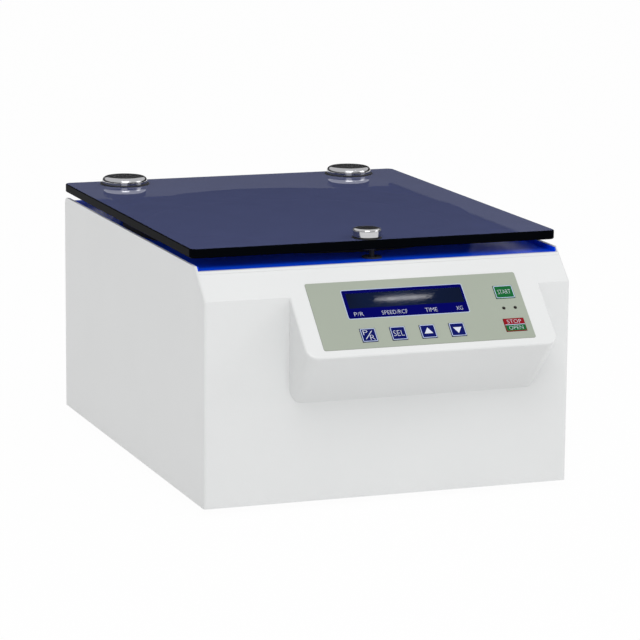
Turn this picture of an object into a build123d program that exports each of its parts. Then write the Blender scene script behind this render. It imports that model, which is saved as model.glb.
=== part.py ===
from build123d import *
import os
from math import cos, radians, sin, sqrt, tan

os.makedirs("parts", exist_ok=True)

# Bench centrifuge with a flat tinted lid, a slanted control console and a fixed-angle rotor.
# X runs from left to right as the user faces it, Y from the front to the rear and Z up.
# The origin lies on the bench under the middle of the overall outline. Sizes are in millimetres.

# Housing
body_width = 380.0
body_depth = 489.0
body_height = 231.5
skirt_clearance = 6.0
shell_wall = 2.5
shell_edge = 3.0
panel_lean = 46.5
band_setback = 31.0
return_flange = 12.0
rear_corner = 8.0
ledge_width = 6.0
ledge_thickness = 2.5

# Console
console_width = 260.0
console_shift = 26.0
console_reach = 53.0
console_foot_height = 98.0
console_corner = 12.0
console_edge = 2.0

# Deck, base and rear panel
deck_drop = 4.5
deck_sheet = 2.0
deck_upstand = 1.2
deck_rear_flange = 16.0
deck_top_margin = 0.5
base_sheet = 2.0
rear_sheet = 1.5
sheet_gap = 0.2
rear_margin = 4.0
rear_screw_radius = 1.5
rear_screw_length = 8.0
screw_head = 1.8
rear_screw_margin_low = 22.0
rear_screw_margin_high = 29.5
rear_vent_side_room = 87.5
rear_vent_drop = 105.5
rear_vent_length = 56.0
rear_vent_gap = 12.0
rear_vent_width = 3.0
rear_vent_pitch = 8.0
rear_vent_rows = 6
base_vent_from_front = 122.0
base_vent_pitch = 12.0
base_vent_count = 11
base_vent_length = 50.0
base_vent_width = 4.0

# Chamber
latch_room = 33.7
seal_side_room = 5.5
seal_rear_room = 39.0
seal_width = 22.0
seal_overhang = 2.0
bowl_depth = 113.0
bowl_wall = 1.2
bowl_corner = 26.0
bowl_rim = 12.0
bowl_hole_radius = 32.0
bowl_lip = 5.0
seal_gap = 0.3
seal_edge = 3.0
seal_lip = 6.0

# Lid
lid_overhang = 1.0
lid_rear_inset = 2.7
lid_setback = 37.3
lid_gap = 6.5
lid_thickness = 9.0
lid_corner = 7.0
lid_chamfer = 0.8
knob_x = -5.5
knob_setback = 15.0
knob_radius = 14.0
knob_height = 9.0
knob_washer_height = 0.8
knob_stud_radius = 2.0
knob_undercut = 1.0
knob_round = 2.5
washer_rim = 0.8

# Striker, lock and lid switch
striker_x = 0.0
striker_radius = 2.5
striker_reach = 35.0
striker_head_radius = 3.5
striker_head_height = 3.0
striker_neck_height = 29.0
neck_radius = 2.0
neck_length = 5.0
collar_radius = 4.0
collar_height = 3.0
bezel_radius = 8.0
bezel_hole_radius = 5.5
bezel_rim = 2.0
bezel_height = 1.5
channel_drop = 24.0
channel_half = 13.0
channel_sheet = 1.5
channel_flange = 8.0
channel_left_x = -36.0
channel_length = 101.0
solenoid_x = 26.0
solenoid_length = 36.0
solenoid_height = 20.0
solenoid_round = 2.0
solenoid_end = 4.0
plunger_radius = 3.0
plunger_length = 28.0
lock_travel = 8.0
fork_sheet = 3.0
fork_length = 13.0
fork_width = 12.0
fork_gap = 0.35
lid_switch_reach = 13.0
lid_switch_length = 20.0
lid_switch_width = 6.4
lid_switch_height = 10.0
lever_sheet = 0.5

# Lid hinges
hinge_side_room = 57.5
hinge_pad_from_rear = 28.0
hinge_cap_radius = 24.5
hinge_cap_height = 7.5
hinge_gasket = 1.0
hinge_pad_radius = 23.0
hinge_pad_thickness = 3.0
hinge_axis_from_rear = 13.0
hinge_axis_drop = 14.0
hinge_slot_margin = 2.0
hinge_slot_length = 36.0
hinge_notch_depth = 8.0
hinge_barrel_radius = 7.5
hinge_pin_radius = 4.0
hinge_arm_width = 16.0
hinge_ear = 3.0
ear_gap = 0.5
ear_radius = 8.0
bracket_length = 36.0
pin_head = 1.5
web_rear = 20.0
web_front = 10.0
rail_below_axis = 24.5
rail_depth = 42.0
rail_drop = 24.5
rail_sheet = 2.5
cap_screw_radius = 4.0
cap_screw_bite = 7.0
cap_head_radius = 7.0
cap_head_height = 4.5
hinge_cap_round = 5.0
gasket_rim = 2.0

# Running, sliding and resting clearances
running_gap = 0.05
slide_gap = 0.25
rest_gap = 0.3
hole_gap = 0.3

# Rotor and drive
rotor_places = 12
tube_bore_radius = 8.6
tube_bore_depth = 50.0
tube_mouth_radius = 62.0
tube_angle = 45.0
tube_wall = 4.0
tube_mouth_height = 46.0
rotor_rise = 10.0
rotor_radius = 108.0
rotor_height = 56.0
rotor_rim_width = 4.0
rotor_rim_round = 1.5
rotor_shoulder_height = 20.0
rotor_foot_chamfer = 6.0
rotor_dish_height = 34.7
rotor_recess_height = 26.0
rotor_recess_radius = 26.0
rotor_hub_radius = 20.0
rotor_hub_flare = 4.0
rotor_hub_height = 44.0
rotor_bore_radius = 7.0
spindle_radius = 6.0
spindle_flange = 3.0
spindle_flange_radius = 14.0
spindle_thread_radius = 4.0
armature_radius = 12.0
nut_radius = 18.0
nut_height = 16.0
nut_round = 2.0
nut_collar = 3.0
nut_flute_radius = 6.0
nut_flutes = 8
nut_roof = 3.0
motor_radius = 50.0
motor_bowl_room = 8.3
motor_floor = 4.0
motor_rib = 3.0
motor_rib_count = 24
motor_cap_height = 5.0
boss_radius = 18.0
boss_height = 9.0
bearing_radius = 14.0
bearing_width = 8.0
motor_plate_side = 150.0
motor_plate_sheet = 3.0
mount_radius = 12.0
mount_height = 26.0
mount_distance = 118.0
boot_inner = 12.0
boot_foot = 5.0
boot_wall = 1.5
sensor_x = 32.0
sensor_length = 14.0
sensor_width = 8.0
sensor_height = 4.0

# Control panel, measured in the plane of the console's face
overlay_offset = 2.0
overlay_drop = 67.6
overlay_width = 219.0
overlay_height = 79.0
overlay_thickness = 0.8
overlay_recess = 0.5
overlay_round = 2.0
key_width = 15.6
key_height = 15.6
key_rise = 0.6
key_travel = 0.5
key_flange = 1.5
key_flange_thickness = 1.0
key_round = 1.5
key_top_round = 0.4
board_depth = 12.4
board_sheet = 1.6
board_width = 224.0
board_height = 60.0
board_margin = 3.5
window_seat = 2.0
module_rim = 8.0
push_switch_side = 6.0
push_switch_height = 5.0
led_rise = 0.6
led_round = 1.2

# Circuit boards, then their components as place on the board, sides and height
board_side_room = 32.5
drive_side_room = 22.5
boards_gap = 30.0
boards_split = 15.0
boards_front_room = 57.4
boards_depth = 90.0
control_components = [
    (-50.0, 10.0, 24.0, 24.0, 4.0),
    (10.0, 20.0, 40.0, 12.0, 9.0),
    (55.0, -15.0, 30.0, 30.0, 16.0),
]
drive_components = [
    (-35.0, 15.0, 20.0, 40.0, 26.0),
    (5.0, 15.0, 20.0, 40.0, 26.0),
    (35.0, -20.0, 26.0, 26.0, 20.0),
]
pillar_radius = 3.0
pillar_height = 8.0
transformer_side_room = 67.5
rear_row_room = 76.6
transformer_length = 80.0
transformer_width = 60.0
transformer_height = 66.0
winding_length = 48.0
winding_height = 40.0
winding_reach = 6.0
sink_side_room = 97.5
sink_length = 70.0
sink_width = 50.0
sink_base = 5.0
sink_height = 35.0
sink_fins = 9
sink_fin = 2.0

# Rear fittings
fan_side_room = 99.5
fan_height = 96.0
fan_side = 80.0
fan_depth = 25.0
fan_corner = 5.0
fan_bore_radius = 38.0
fan_screw_pitch = 71.5
fan_screw_radius = 2.0
fan_screw_length = 12.0
fan_strut = 3.0
fan_strut_count = 4
fan_hub_radius = 16.0
fan_hub_length = 19.5
fan_shaft_radius = 2.0
fan_blades = 7
fan_blade_tip = 36.0
fan_blade_chord = 16.0
fan_blade_pitch = 40.0
fan_blade_sheet = 1.5
guard_wire = 2.0
guard_rings = 4
guard_ring_pitch = 9.0
guard_ear_radius = 5.0
inlet_to_fuse = 42.0
inlet_height = 62.0
inlet_flange_width = 50.0
inlet_flange_height = 24.0
inlet_flange = 2.5
inlet_round = 4.0
inlet_body_width = 27.0
inlet_body_height = 20.0
inlet_body_depth = 20.0
inlet_cavity_width = 24.0
inlet_cavity_height = 16.0
inlet_cavity_depth = 16.0
inlet_chamfer = 4.5
contact_places = ((-7.0, -2.0), (0.0, 2.0), (7.0, -2.0))
contact_thickness = 2.0
contact_height = 4.0
contact_length = 10.0
switch_to_inlet = 46.0
switch_flange_width = 15.0
switch_flange_height = 21.0
switch_flange = 2.0
switch_round = 1.5
switch_body_width = 13.0
switch_body_height = 19.4
switch_body_depth = 14.0
pocket_width = 10.0
pocket_height = 17.0
pocket_depth = 10.0
rocker_width = 9.4
rocker_inset = 1.5
rocker_tilt = 12.0
rocker_half = 7.4
rocker_valley = 3.4
rocker_root = 3.0
rocker_pin_radius = 1.0
fuse_side_room = 33.5
fuse_reach = 8.0
fuse_cap_radius = 8.0
fuse_body_radius = 6.5
fuse_length = 30.0
fuse_slot = 1.6

# Feet
foot_side_room = 37.5
foot_inset = 45.0
foot_top_radius = 15.0
foot_bottom_radius = 13.0
foot_recess_radius = 6.0
foot_recess_depth = 4.5
foot_screw_radius = 2.5
foot_screw_head_radius = 5.0
foot_screw_head_height = 3.0

# Places that follow from the sizes above
lean = radians(panel_lean)
console_nose = console_edge * (sqrt(2) - 1)
overall_depth = console_reach - console_nose + body_depth + fuse_reach
front_y = console_reach - console_nose - overall_depth / 2
rear_y = front_y + body_depth
shell_rear_y = rear_y - rear_sheet
skirt_z = skirt_clearance
wall_top_z = skirt_z + body_height
deck_z = wall_top_z - deck_drop
band_foot_z = wall_top_z - band_setback / tan(lean)
console_lip_z = band_foot_z - console_reach / tan(lean)
console_foot_z = skirt_z + console_foot_height
inner_x = body_width / 2 - shell_wall
base_z = skirt_z + shell_wall
base_top_z = base_z + base_sheet
lid_z = wall_top_z + lid_gap
lid_top_z = lid_z + lid_thickness
lid_front_y = front_y + lid_setback
lid_width = body_width + 2 * lid_overhang
lid_length = rear_y - lid_rear_inset - lid_front_y
lid_mid_y = lid_front_y + lid_length / 2
bowl_floor_z = deck_z - bowl_depth
hinge_y = rear_y - hinge_axis_from_rear
rocker_y = rear_y - rocker_inset
hinge_z = deck_z - hinge_axis_drop
hinge_pad_y = rear_y - hinge_pad_from_rear
knob_y = lid_front_y + knob_setback
seal_front_y = knob_y + latch_room
seal_outer_radius = min(inner_x - seal_side_room, (rear_y - seal_rear_room - seal_front_y) / 2)
seal_inner_radius = seal_outer_radius - seal_width
bowl_radius = seal_inner_radius - seal_overhang
chamber_y = seal_front_y + seal_outer_radius
deck_under_z = deck_z - deck_sheet
deck_half_x = inner_x - sheet_gap
base_front_y = front_y + shell_wall + sheet_gap
base_rear_y = shell_rear_y - shell_wall - sheet_gap
rear_bottom_z = skirt_z + rear_margin
rear_face = Plane.XZ.offset(-shell_rear_y)
back_face = Plane.XZ.offset(-rear_y)
rear_screw_x = inner_x - return_flange / 2
rear_screw_low_z = skirt_z + rear_screw_margin_low
rear_screw_high_z = wall_top_z - rear_screw_margin_high
rear_screw_heights = (rear_screw_low_z, (rear_screw_low_z + rear_screw_high_z) / 2, rear_screw_high_z)
rear_screw_places = [(side * rear_screw_x, height) for side in (-1, 1) for height in rear_screw_heights]
rear_vent_x = inner_x - rear_vent_side_room
rear_vent_z = wall_top_z - rear_vent_drop
fan_x = fan_side_room - inner_x
fuse_x = inner_x - fuse_side_room
inlet_x = fuse_x - inlet_to_fuse
switch_x = inlet_x - switch_to_inlet
foot_x = inner_x - foot_side_room
hinge_x = inner_x - hinge_side_room
overlay_x = console_shift - overlay_offset
fan_screw_places = [
    (fan_x + across * fan_screw_pitch / 2, fan_height + up * fan_screw_pitch / 2)
    for across in (-1, 1)
    for up in (-1, 1)
]
foot_places = [(side * foot_x, y) for side in (-1, 1) for y in (front_y + foot_inset, rear_y - foot_inset)]
boards_y = front_y + boards_front_room
control_board_length = inner_x - board_side_room + boards_split
drive_board_length = inner_x - drive_side_room - boards_split - boards_gap
control_board_x = boards_split - control_board_length / 2
drive_board_x = boards_split + boards_gap + drive_board_length / 2
circuit_boards = {
    "control_board": (control_board_x, boards_y, control_board_length, boards_depth),
    "drive_board": (drive_board_x, boards_y, drive_board_length, boards_depth),
}
rear_row_y = rear_y - rear_row_room
transformer_x = inner_x - transformer_side_room
sink_x = sink_side_room - inner_x
rail_z = hinge_z - rail_below_axis
rail_rear_y = shell_rear_y - shell_wall
bracket_mid_y = rail_rear_y - rail_depth / 2
ear_inner_x = hinge_arm_width / 2 + ear_gap
pad_z = lid_z - hinge_gasket - hinge_pad_thickness
cap_z = lid_top_z + hinge_gasket
knob_z = lid_top_z + knob_washer_height
collar_z = lid_z - collar_height
neck_z = lid_z - striker_neck_height
striker_tip_z = lid_z - striker_reach
channel_z = deck_under_z - channel_drop
fork_mid_z = neck_z + neck_length / 2
fork_tip_x = striker_x + lock_travel / 2
fork_slot = lock_travel / 2 + neck_radius + 2 * fork_gap
lid_switch_x = striker_x - lid_switch_reach
seal_step_radius = bowl_radius + bowl_rim + sheet_gap
seal_top_z = lid_z - seal_gap
bowl_under_z = bowl_floor_z - bowl_wall
plate_z = base_top_z + mount_height
motor_z = plate_z + motor_plate_sheet
cap_plate_z = bowl_under_z - motor_bowl_room - boss_height
motor_height = cap_plate_z - motor_z
boss_top_z = cap_plate_z + boss_height
rotor_z = bowl_floor_z + rotor_rise
armature_z = motor_z + motor_floor + bearing_width + spindle_flange
armature_top_z = cap_plate_z - spindle_flange
nut_z = rotor_z + rotor_hub_height
spindle_top_z = nut_z + nut_height - nut_roof - rest_gap


def band_inner_y(height, inset):
    """Y of the slanted band's plane at a height, moved inwards by inset."""
    return front_y + (inset + (height - band_foot_z) * sin(lean)) / cos(lean)


deck_front_y = band_inner_y(deck_z, shell_wall) + sheet_gap

# Plane of the console's face, with its origin at the middle of the overlay
panel = Plane(
    origin=(
        overlay_x,
        front_y + band_setback - overlay_drop * sin(lean),
        wall_top_z - overlay_drop * cos(lean),
    ),
    x_dir=(1, 0, 0),
    z_dir=(0, -cos(lean), sin(lean)),
)

key_top = overlay_thickness - overlay_recess + key_rise
key_under = shell_wall + slide_gap + key_flange_thickness

# Keys on the overlay: name, middle across, middle up the slope, width and height
small_keys_y = -24.8
small_key_pitch = 30.6
first_key_x = -60.6
start_key = ("key_start", 92.0, 16.1, 20.0, 15.2)
stop_open_key = ("key_stop_open", 92.0, -23.4, 21.6, 15.2)
small_key_names = ("key_program", "key_select", "key_up", "key_down")
keys = [
    (name, first_key_x + small_key_pitch * place, small_keys_y, key_width, key_height)
    for place, name in enumerate(small_key_names)
]
keys += [start_key, stop_open_key]
window_x, window_y = -12.0, 16.2
window_width, window_height = 119.5, 17.8
led_places = [(86.4, -2.9), (98.5, -2.9)]
led_radius = 1.6

body_section = [
    (front_y, skirt_z),
    (front_y, band_foot_z),
    (front_y + band_setback, wall_top_z),
    (shell_rear_y, wall_top_z),
    (shell_rear_y, skirt_z),
]
console_section = [
    (front_y, console_foot_z),
    (front_y - console_reach, console_lip_z),
    (front_y + band_setback, wall_top_z),
    (front_y + band_setback, console_foot_z),
]
# Half section of the rotor as radius and height above its foot
funnel_line = tube_mouth_radius - tube_mouth_height
recess_line = tube_mouth_radius + tube_mouth_height - (tube_bore_radius + tube_wall) * sqrt(2)
rim_inner_radius = rotor_height + funnel_line
rotor_section = [
    (rotor_bore_radius, 0),
    (rotor_recess_radius, 0),
    (rotor_recess_radius, rotor_recess_height),
    (recess_line - rotor_recess_height, rotor_recess_height),
    (recess_line, 0),
    (rotor_radius - rotor_foot_chamfer, 0),
    (rotor_radius, rotor_foot_chamfer),
    (rotor_radius, rotor_shoulder_height),
    (rim_inner_radius + rotor_rim_width, rotor_height),
    (rim_inner_radius, rotor_height),
    (rotor_dish_height + funnel_line, rotor_dish_height),
    (rotor_hub_radius + rotor_hub_flare, rotor_dish_height),
    (rotor_hub_radius, rotor_dish_height + rotor_hub_flare),
    (rotor_hub_radius, rotor_hub_height),
    (rotor_bore_radius, rotor_hub_height),
]
underside = Axis((0, 0, 0), (0, -console_reach, console_lip_z - console_foot_z))
slope = Axis((0, 0, 0), (0, sin(lean), cos(lean)))


def console_wedge(inset, edge):
    """Wedge of the console, moved inwards by inset, its long lower corners rounded."""
    with BuildPart() as wedge:
        with BuildSketch(Plane.YZ.offset(console_shift)):
            with BuildLine():
                Polyline(*console_section, close=True)
            make_face()
            if inset:
                offset(amount=-inset, kind=Kind.INTERSECTION)
        extrude(amount=console_width / 2 - inset, both=True)
        fillet(wedge.edges().filter_by(underside), radius=console_corner - inset)
        if edge:
            face = wedge.faces().filter_by(lambda f: f.normal_at().dot(panel.z_dir) > 0.999)
            rim = face.edges().filter_by(lambda e: (e @ 0.5).Z < wall_top_z - shell_wall)
            fillet(rim, radius=edge)
    return wedge.part


# One-piece shell: front with slanted band and console, and both side walls.
# It is open at the rear and under the deck, with return flanges for what screws to it.
console_form = console_wedge(0, console_edge)
console_hollow = console_wedge(shell_wall, 0)
with BuildPart() as housing_shell:
    with BuildSketch(Plane.YZ):
        with BuildLine():
            Polyline(*body_section, close=True)
        make_face()
    extrude(amount=body_width / 2, both=True)
    front_edges = housing_shell.edges().filter_by(Axis.Z).group_by(Axis.Y)[0]
    slope_edges = housing_shell.edges().filter_by(slope)
    fillet(front_edges + slope_edges, radius=shell_edge)
    rear_top = housing_shell.edges().filter_by(Axis.X).group_by(Axis.Y)[-1].sort_by(Axis.Z)[-1]
    fillet(rear_top, radius=rear_corner)
    add(console_form)
    with BuildSketch(Plane.YZ):
        with BuildLine():
            Polyline(*body_section, close=True)
        make_face()
        offset(amount=-shell_wall, kind=Kind.INTERSECTION)
    extrude(amount=inner_x, both=True, mode=Mode.SUBTRACT)
    add(console_hollow, mode=Mode.SUBTRACT)
    # The band ends at the deck, and the side walls stand above it.
    with Locations((0, (front_y + rear_y) / 2, deck_z)):
        Box(2 * inner_x, 2 * body_depth, 2 * deck_drop, align=(Align.CENTER, Align.CENTER, Align.MIN),
            mode=Mode.SUBTRACT)
    # Openings under the housing and behind it leave a return flange all round.
    with Locations((0, (front_y + shell_rear_y) / 2, skirt_z)):
        Box(2 * (inner_x - return_flange), body_depth - 2 * (shell_wall + return_flange),
            3 * shell_wall, mode=Mode.SUBTRACT)
    with Locations((0, shell_rear_y, base_z + return_flange)):
        Box(2 * (inner_x - return_flange), 4 * shell_wall, body_height,
            align=(Align.CENTER, Align.CENTER, Align.MIN), mode=Mode.SUBTRACT)
    with Locations((0, shell_rear_y, deck_z - deck_sheet)):
        Box(2 * inner_x, 4 * shell_wall, 2 * deck_sheet, align=(Align.CENTER, Align.CENTER, Align.MIN),
            mode=Mode.SUBTRACT)
    # Ledges that carry the deck
    ledge_z = deck_z - deck_sheet - ledge_thickness
    ledge_front_y = band_inner_y(ledge_z, shell_wall / 2)
    with Locations((0, ledge_front_y, ledge_z)):
        Box(2 * inner_x, band_inner_y(deck_z, shell_wall) + ledge_width - ledge_front_y,
            ledge_thickness, align=(Align.CENTER, Align.MIN, Align.MIN))
    ledge_mid_y = (band_inner_y(deck_z, shell_wall) + shell_rear_y) / 2
    for side in (-1, 1):
        with Locations((side * (inner_x - ledge_width / 2), ledge_mid_y, ledge_z)):
            Box(ledge_width, shell_rear_y - band_inner_y(deck_z, shell_wall), ledge_thickness,
                align=(Align.CENTER, Align.CENTER, Align.MIN))
    # Recess for the overlay, and the openings behind it for keys, display and lamps
    with BuildSketch(panel):
        RectangleRounded(overlay_width + 2 * sheet_gap, overlay_height + 2 * sheet_gap,
                         overlay_round + sheet_gap)
    extrude(amount=-overlay_recess, mode=Mode.SUBTRACT)
    with BuildSketch(panel):
        with Locations((window_x, window_y)):
            Rectangle(window_width - 2 * window_seat, window_height - 2 * window_seat)
        for _, key_x, key_y, width, height in keys:
            with Locations((key_x, key_y)):
                Rectangle(width + 2 * slide_gap, height + 2 * slide_gap)
        with Locations(*led_places):
            Circle(led_radius + slide_gap)
    extrude(amount=-2 * shell_wall, mode=Mode.SUBTRACT)
    # Bosses behind the face that carry the key board
    with BuildSketch(panel.offset(-board_depth)):
        with GridLocations(board_width - 2 * board_margin, board_height - 2 * board_margin, 2, 2):
            Circle(board_margin)
    extrude(amount=board_depth - shell_wall)
    # Holes in the rear return flanges for the rear panel's screws
    with BuildSketch(rear_face):
        with Locations(*rear_screw_places):
            Circle(rear_screw_radius + hole_gap)
    extrude(amount=2 * (rear_sheet + shell_wall), mode=Mode.SUBTRACT)

# Blue deck: one sheet between the side walls, with a short upstand along each wall,
# the chamber's opening, the striker's hole and a slot for each hinge arm
with BuildPart() as deck_pan:
    with Locations((0, deck_front_y, deck_under_z)):
        Box(2 * deck_half_x, shell_rear_y - deck_front_y, deck_sheet,
            align=(Align.CENTER, Align.MIN, Align.MIN))
    for side in (-1, 1):
        with Locations((side * (deck_half_x - deck_upstand / 2), deck_front_y, deck_z)):
            Box(deck_upstand, shell_rear_y - rear_corner - deck_front_y, deck_drop - deck_top_margin,
                align=(Align.CENTER, Align.MIN, Align.MIN))
    with Locations((0, shell_rear_y, deck_under_z)):
        Box(2 * (inner_x - return_flange - sheet_gap), deck_sheet, deck_rear_flange,
            align=(Align.CENTER, Align.MAX, Align.MAX))
    with Locations((0, chamber_y, deck_z)):
        Cylinder(bowl_radius + bowl_wall + hole_gap, 4 * deck_sheet, mode=Mode.SUBTRACT)
    with Locations((striker_x, knob_y, deck_z)):
        Cylinder(bezel_radius + sheet_gap, 4 * deck_sheet, mode=Mode.SUBTRACT)
    for side in (-1, 1):
        with Locations((side * hinge_x, shell_rear_y, deck_z)):
            Box(hinge_arm_width + 2 * hinge_slot_margin, 2 * hinge_slot_length, 4 * deck_rear_flange,
                mode=Mode.SUBTRACT)

# Steel base plate on the lower return flange, with air slots and the holes for the feet
with BuildPart() as base_plate:
    with BuildSketch(Plane.XY.offset(base_z)):
        with Locations((0, (base_front_y + base_rear_y) / 2)):
            Rectangle(2 * (inner_x - sheet_gap), base_rear_y - base_front_y)
        with Locations(*foot_places):
            Circle(foot_screw_radius + hole_gap, mode=Mode.SUBTRACT)
        with Locations((0, front_y + base_vent_from_front)):
            with GridLocations(base_vent_pitch, 0, base_vent_count, 1):
                SlotOverall(base_vent_length, base_vent_width, rotation=90, mode=Mode.SUBTRACT)
    extrude(amount=base_sheet)

# Rear panel: plate with fan hole, air slots, cut-outs and the notches of the hinge arms
with BuildPart() as rear_panel:
    with BuildSketch(rear_face):
        with Locations((0, (rear_bottom_z + deck_z) / 2)):
            RectangleRounded(body_width - 2 * rear_margin, deck_z - rear_bottom_z, rear_margin)
        for side in (-1, 1):
            with Locations((side * hinge_x, deck_z)):
                Rectangle(hinge_arm_width + 2 * hinge_slot_margin,
                          2 * (hinge_axis_drop + hinge_notch_depth), mode=Mode.SUBTRACT)
        with Locations((fan_x, fan_height)):
            Circle(fan_bore_radius, mode=Mode.SUBTRACT)
        with Locations(*fan_screw_places):
            Circle(fan_screw_radius + hole_gap, mode=Mode.SUBTRACT)
        with Locations(*rear_screw_places):
            Circle(rear_screw_radius + hole_gap, mode=Mode.SUBTRACT)
        with Locations((inlet_x, inlet_height)):
            Rectangle(inlet_body_width + 2 * hole_gap, inlet_body_height + 2 * hole_gap,
                      mode=Mode.SUBTRACT)
        with Locations((switch_x, inlet_height)):
            Rectangle(switch_body_width + 2 * hole_gap, switch_body_height + 2 * hole_gap,
                      mode=Mode.SUBTRACT)
        with Locations((fuse_x, inlet_height)):
            Circle(fuse_body_radius + hole_gap, mode=Mode.SUBTRACT)
        with Locations((rear_vent_x, rear_vent_z)):
            with GridLocations(rear_vent_length + rear_vent_gap, rear_vent_pitch, 2, rear_vent_rows):
                SlotOverall(rear_vent_length, rear_vent_width, mode=Mode.SUBTRACT)
    extrude(amount=-rear_sheet)

# Pan-head screws of the rear panel
with BuildPart() as rear_screws:
    for place_x, place_z in rear_screw_places:
        with Locations(Location((place_x, rear_y, place_z), (-90, 0, 0))):
            Cylinder(2 * rear_screw_radius, screw_head, align=(Align.CENTER, Align.CENTER, Align.MIN))
            Cylinder(rear_screw_radius, rear_screw_length,
                     align=(Align.CENTER, Align.CENTER, Align.MAX))
    heads = rear_screws.edges().filter_by(GeomType.CIRCLE).group_by(Axis.Y)[-1]
    fillet(heads, radius=screw_head / 3)

# Steel angle across the rear that carries both hinge brackets
with BuildPart() as hinge_rail:
    with BuildSketch(Plane.YZ):
        with BuildLine():
            Polyline(
                (rail_rear_y, rail_z), (rail_rear_y - rail_depth, rail_z),
                (rail_rear_y - rail_depth, rail_z - rail_sheet),
                (rail_rear_y - rail_sheet, rail_z - rail_sheet),
                (rail_rear_y - rail_sheet, rail_z - rail_drop), (rail_rear_y, rail_z - rail_drop),
                close=True,
            )
        make_face()
    extrude(amount=inner_x - sheet_gap, both=True)

# Hinge brackets: two ears each, rounded about the pin
with BuildPart() as hinge_brackets:
    for side in (-1, 1):
        with Locations((side * hinge_x, bracket_mid_y, rail_z)):
            Box(2 * (ear_inner_x + hinge_ear), bracket_length, hinge_ear,
                align=(Align.CENTER, Align.CENTER, Align.MIN))
        for hand in (-1, 1):
            ear_x = side * hinge_x + hand * (ear_inner_x + hinge_ear / 2)
            with BuildSketch(Plane.YZ.offset(ear_x)):
                with BuildLine():
                    Polyline(
                        (bracket_mid_y - bracket_length / 2, rail_z),
                        (bracket_mid_y + bracket_length / 2, rail_z),
                        (hinge_y + ear_radius, hinge_z), (hinge_y - ear_radius, hinge_z),
                        close=True,
                    )
                make_face()
                with Locations((hinge_y, hinge_z)):
                    Circle(ear_radius)
                    Circle(hinge_pin_radius + running_gap, mode=Mode.SUBTRACT)
            extrude(amount=hinge_ear / 2, both=True)

# Hinge pins with a flat head outside one ear
with BuildPart() as hinge_pins:
    for side in (-1, 1):
        pin_start = side * hinge_x - ear_inner_x - hinge_ear
        with BuildSketch(Plane.YZ.offset(pin_start)):
            with Locations((hinge_y, hinge_z)):
                Circle(hinge_pin_radius)
        extrude(amount=2 * (ear_inner_x + hinge_ear) + pin_head)
        with BuildSketch(Plane.YZ.offset(pin_start)):
            with Locations((hinge_y, hinge_z)):
                Circle(hinge_pin_radius + pin_head)
        extrude(amount=-pin_head)

# Hinge arms: pad under the lid, web through the deck's slot and barrel on the pin
with BuildPart() as hinge_arms:
    for side in (-1, 1):
        with BuildSketch(Plane.YZ.offset(side * hinge_x)):
            with BuildLine():
                Polyline(
                    (hinge_y - hinge_barrel_radius, hinge_z), (hinge_y + hinge_barrel_radius, hinge_z),
                    (hinge_pad_y + web_rear, pad_z), (hinge_pad_y - web_front, pad_z), close=True,
                )
            make_face()
            with Locations((hinge_y, hinge_z)):
                Circle(hinge_barrel_radius)
                Circle(hinge_pin_radius + running_gap, mode=Mode.SUBTRACT)
        extrude(amount=hinge_arm_width / 2, both=True)
        with Locations((side * hinge_x, hinge_pad_y, pad_z)):
            Cylinder(hinge_pad_radius, hinge_pad_thickness,
                     align=(Align.CENTER, Align.CENTER, Align.MIN))
        with Locations((side * hinge_x, hinge_pad_y, pad_z + hinge_pad_thickness)):
            Cylinder(cap_screw_radius + running_gap, cap_screw_bite,
                     align=(Align.CENTER, Align.CENTER, Align.MAX), mode=Mode.SUBTRACT)

# Rubber discs above and below the lid at each hinge
with BuildPart() as hinge_gaskets:
    for side in (-1, 1):
        for gasket_z, radius in ((lid_z - hinge_gasket, hinge_pad_radius),
                                 (lid_top_z, hinge_cap_radius + gasket_rim)):
            with BuildSketch(Plane.XY.offset(gasket_z)):
                with Locations((side * hinge_x, hinge_pad_y)):
                    Circle(radius)
                    Circle(cap_screw_radius + hole_gap, mode=Mode.SUBTRACT)
            extrude(amount=hinge_gasket)

# Domed hinge caps, hollow over the screw heads
with BuildPart() as hinge_caps:
    for side in (-1, 1):
        with Locations((side * hinge_x, hinge_pad_y, cap_z)):
            Cylinder(hinge_cap_radius, hinge_cap_height, align=(Align.CENTER, Align.CENTER, Align.MIN))
    crowns = hinge_caps.edges().filter_by(GeomType.CIRCLE).group_by(Axis.Z)[-1]
    fillet(crowns, radius=hinge_cap_round)
    for side in (-1, 1):
        with Locations((side * hinge_x, hinge_pad_y, cap_z)):
            Cylinder(cap_head_radius + hole_gap, cap_head_height + hole_gap,
                     align=(Align.CENTER, Align.CENTER, Align.MIN), mode=Mode.SUBTRACT)

# Screws that clamp caps, lid and arms together
with BuildPart() as hinge_screws:
    for side in (-1, 1):
        with BuildSketch(Plane.XY.offset(cap_z)):
            with Locations((side * hinge_x, hinge_pad_y)):
                RegularPolygon(cap_head_radius, 6)
        extrude(amount=cap_head_height)
        with Locations((side * hinge_x, hinge_pad_y, cap_z)):
            Cylinder(cap_screw_radius, cap_z - pad_z - hinge_pad_thickness + cap_screw_bite - rest_gap,
                     align=(Align.CENTER, Align.CENTER, Align.MAX))

# Flat tinted lid
with BuildPart() as lid_plate:
    with BuildSketch(Plane.XY.offset(lid_z)):
        with Locations((0, lid_mid_y)):
            RectangleRounded(lid_width, lid_length, lid_corner)
    extrude(amount=lid_thickness)
    rims = lid_plate.edges().group_by(Axis.Z)[0] + lid_plate.edges().group_by(Axis.Z)[-1]
    chamfer(rims, length=lid_chamfer)
    with BuildSketch(Plane.XY.offset(lid_z)):
        with Locations((-hinge_x, hinge_pad_y), (hinge_x, hinge_pad_y)):
            Circle(cap_screw_radius + hole_gap)
        with Locations((knob_x, knob_y)):
            Circle(knob_stud_radius + hole_gap)
    extrude(amount=lid_thickness, mode=Mode.SUBTRACT)

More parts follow.
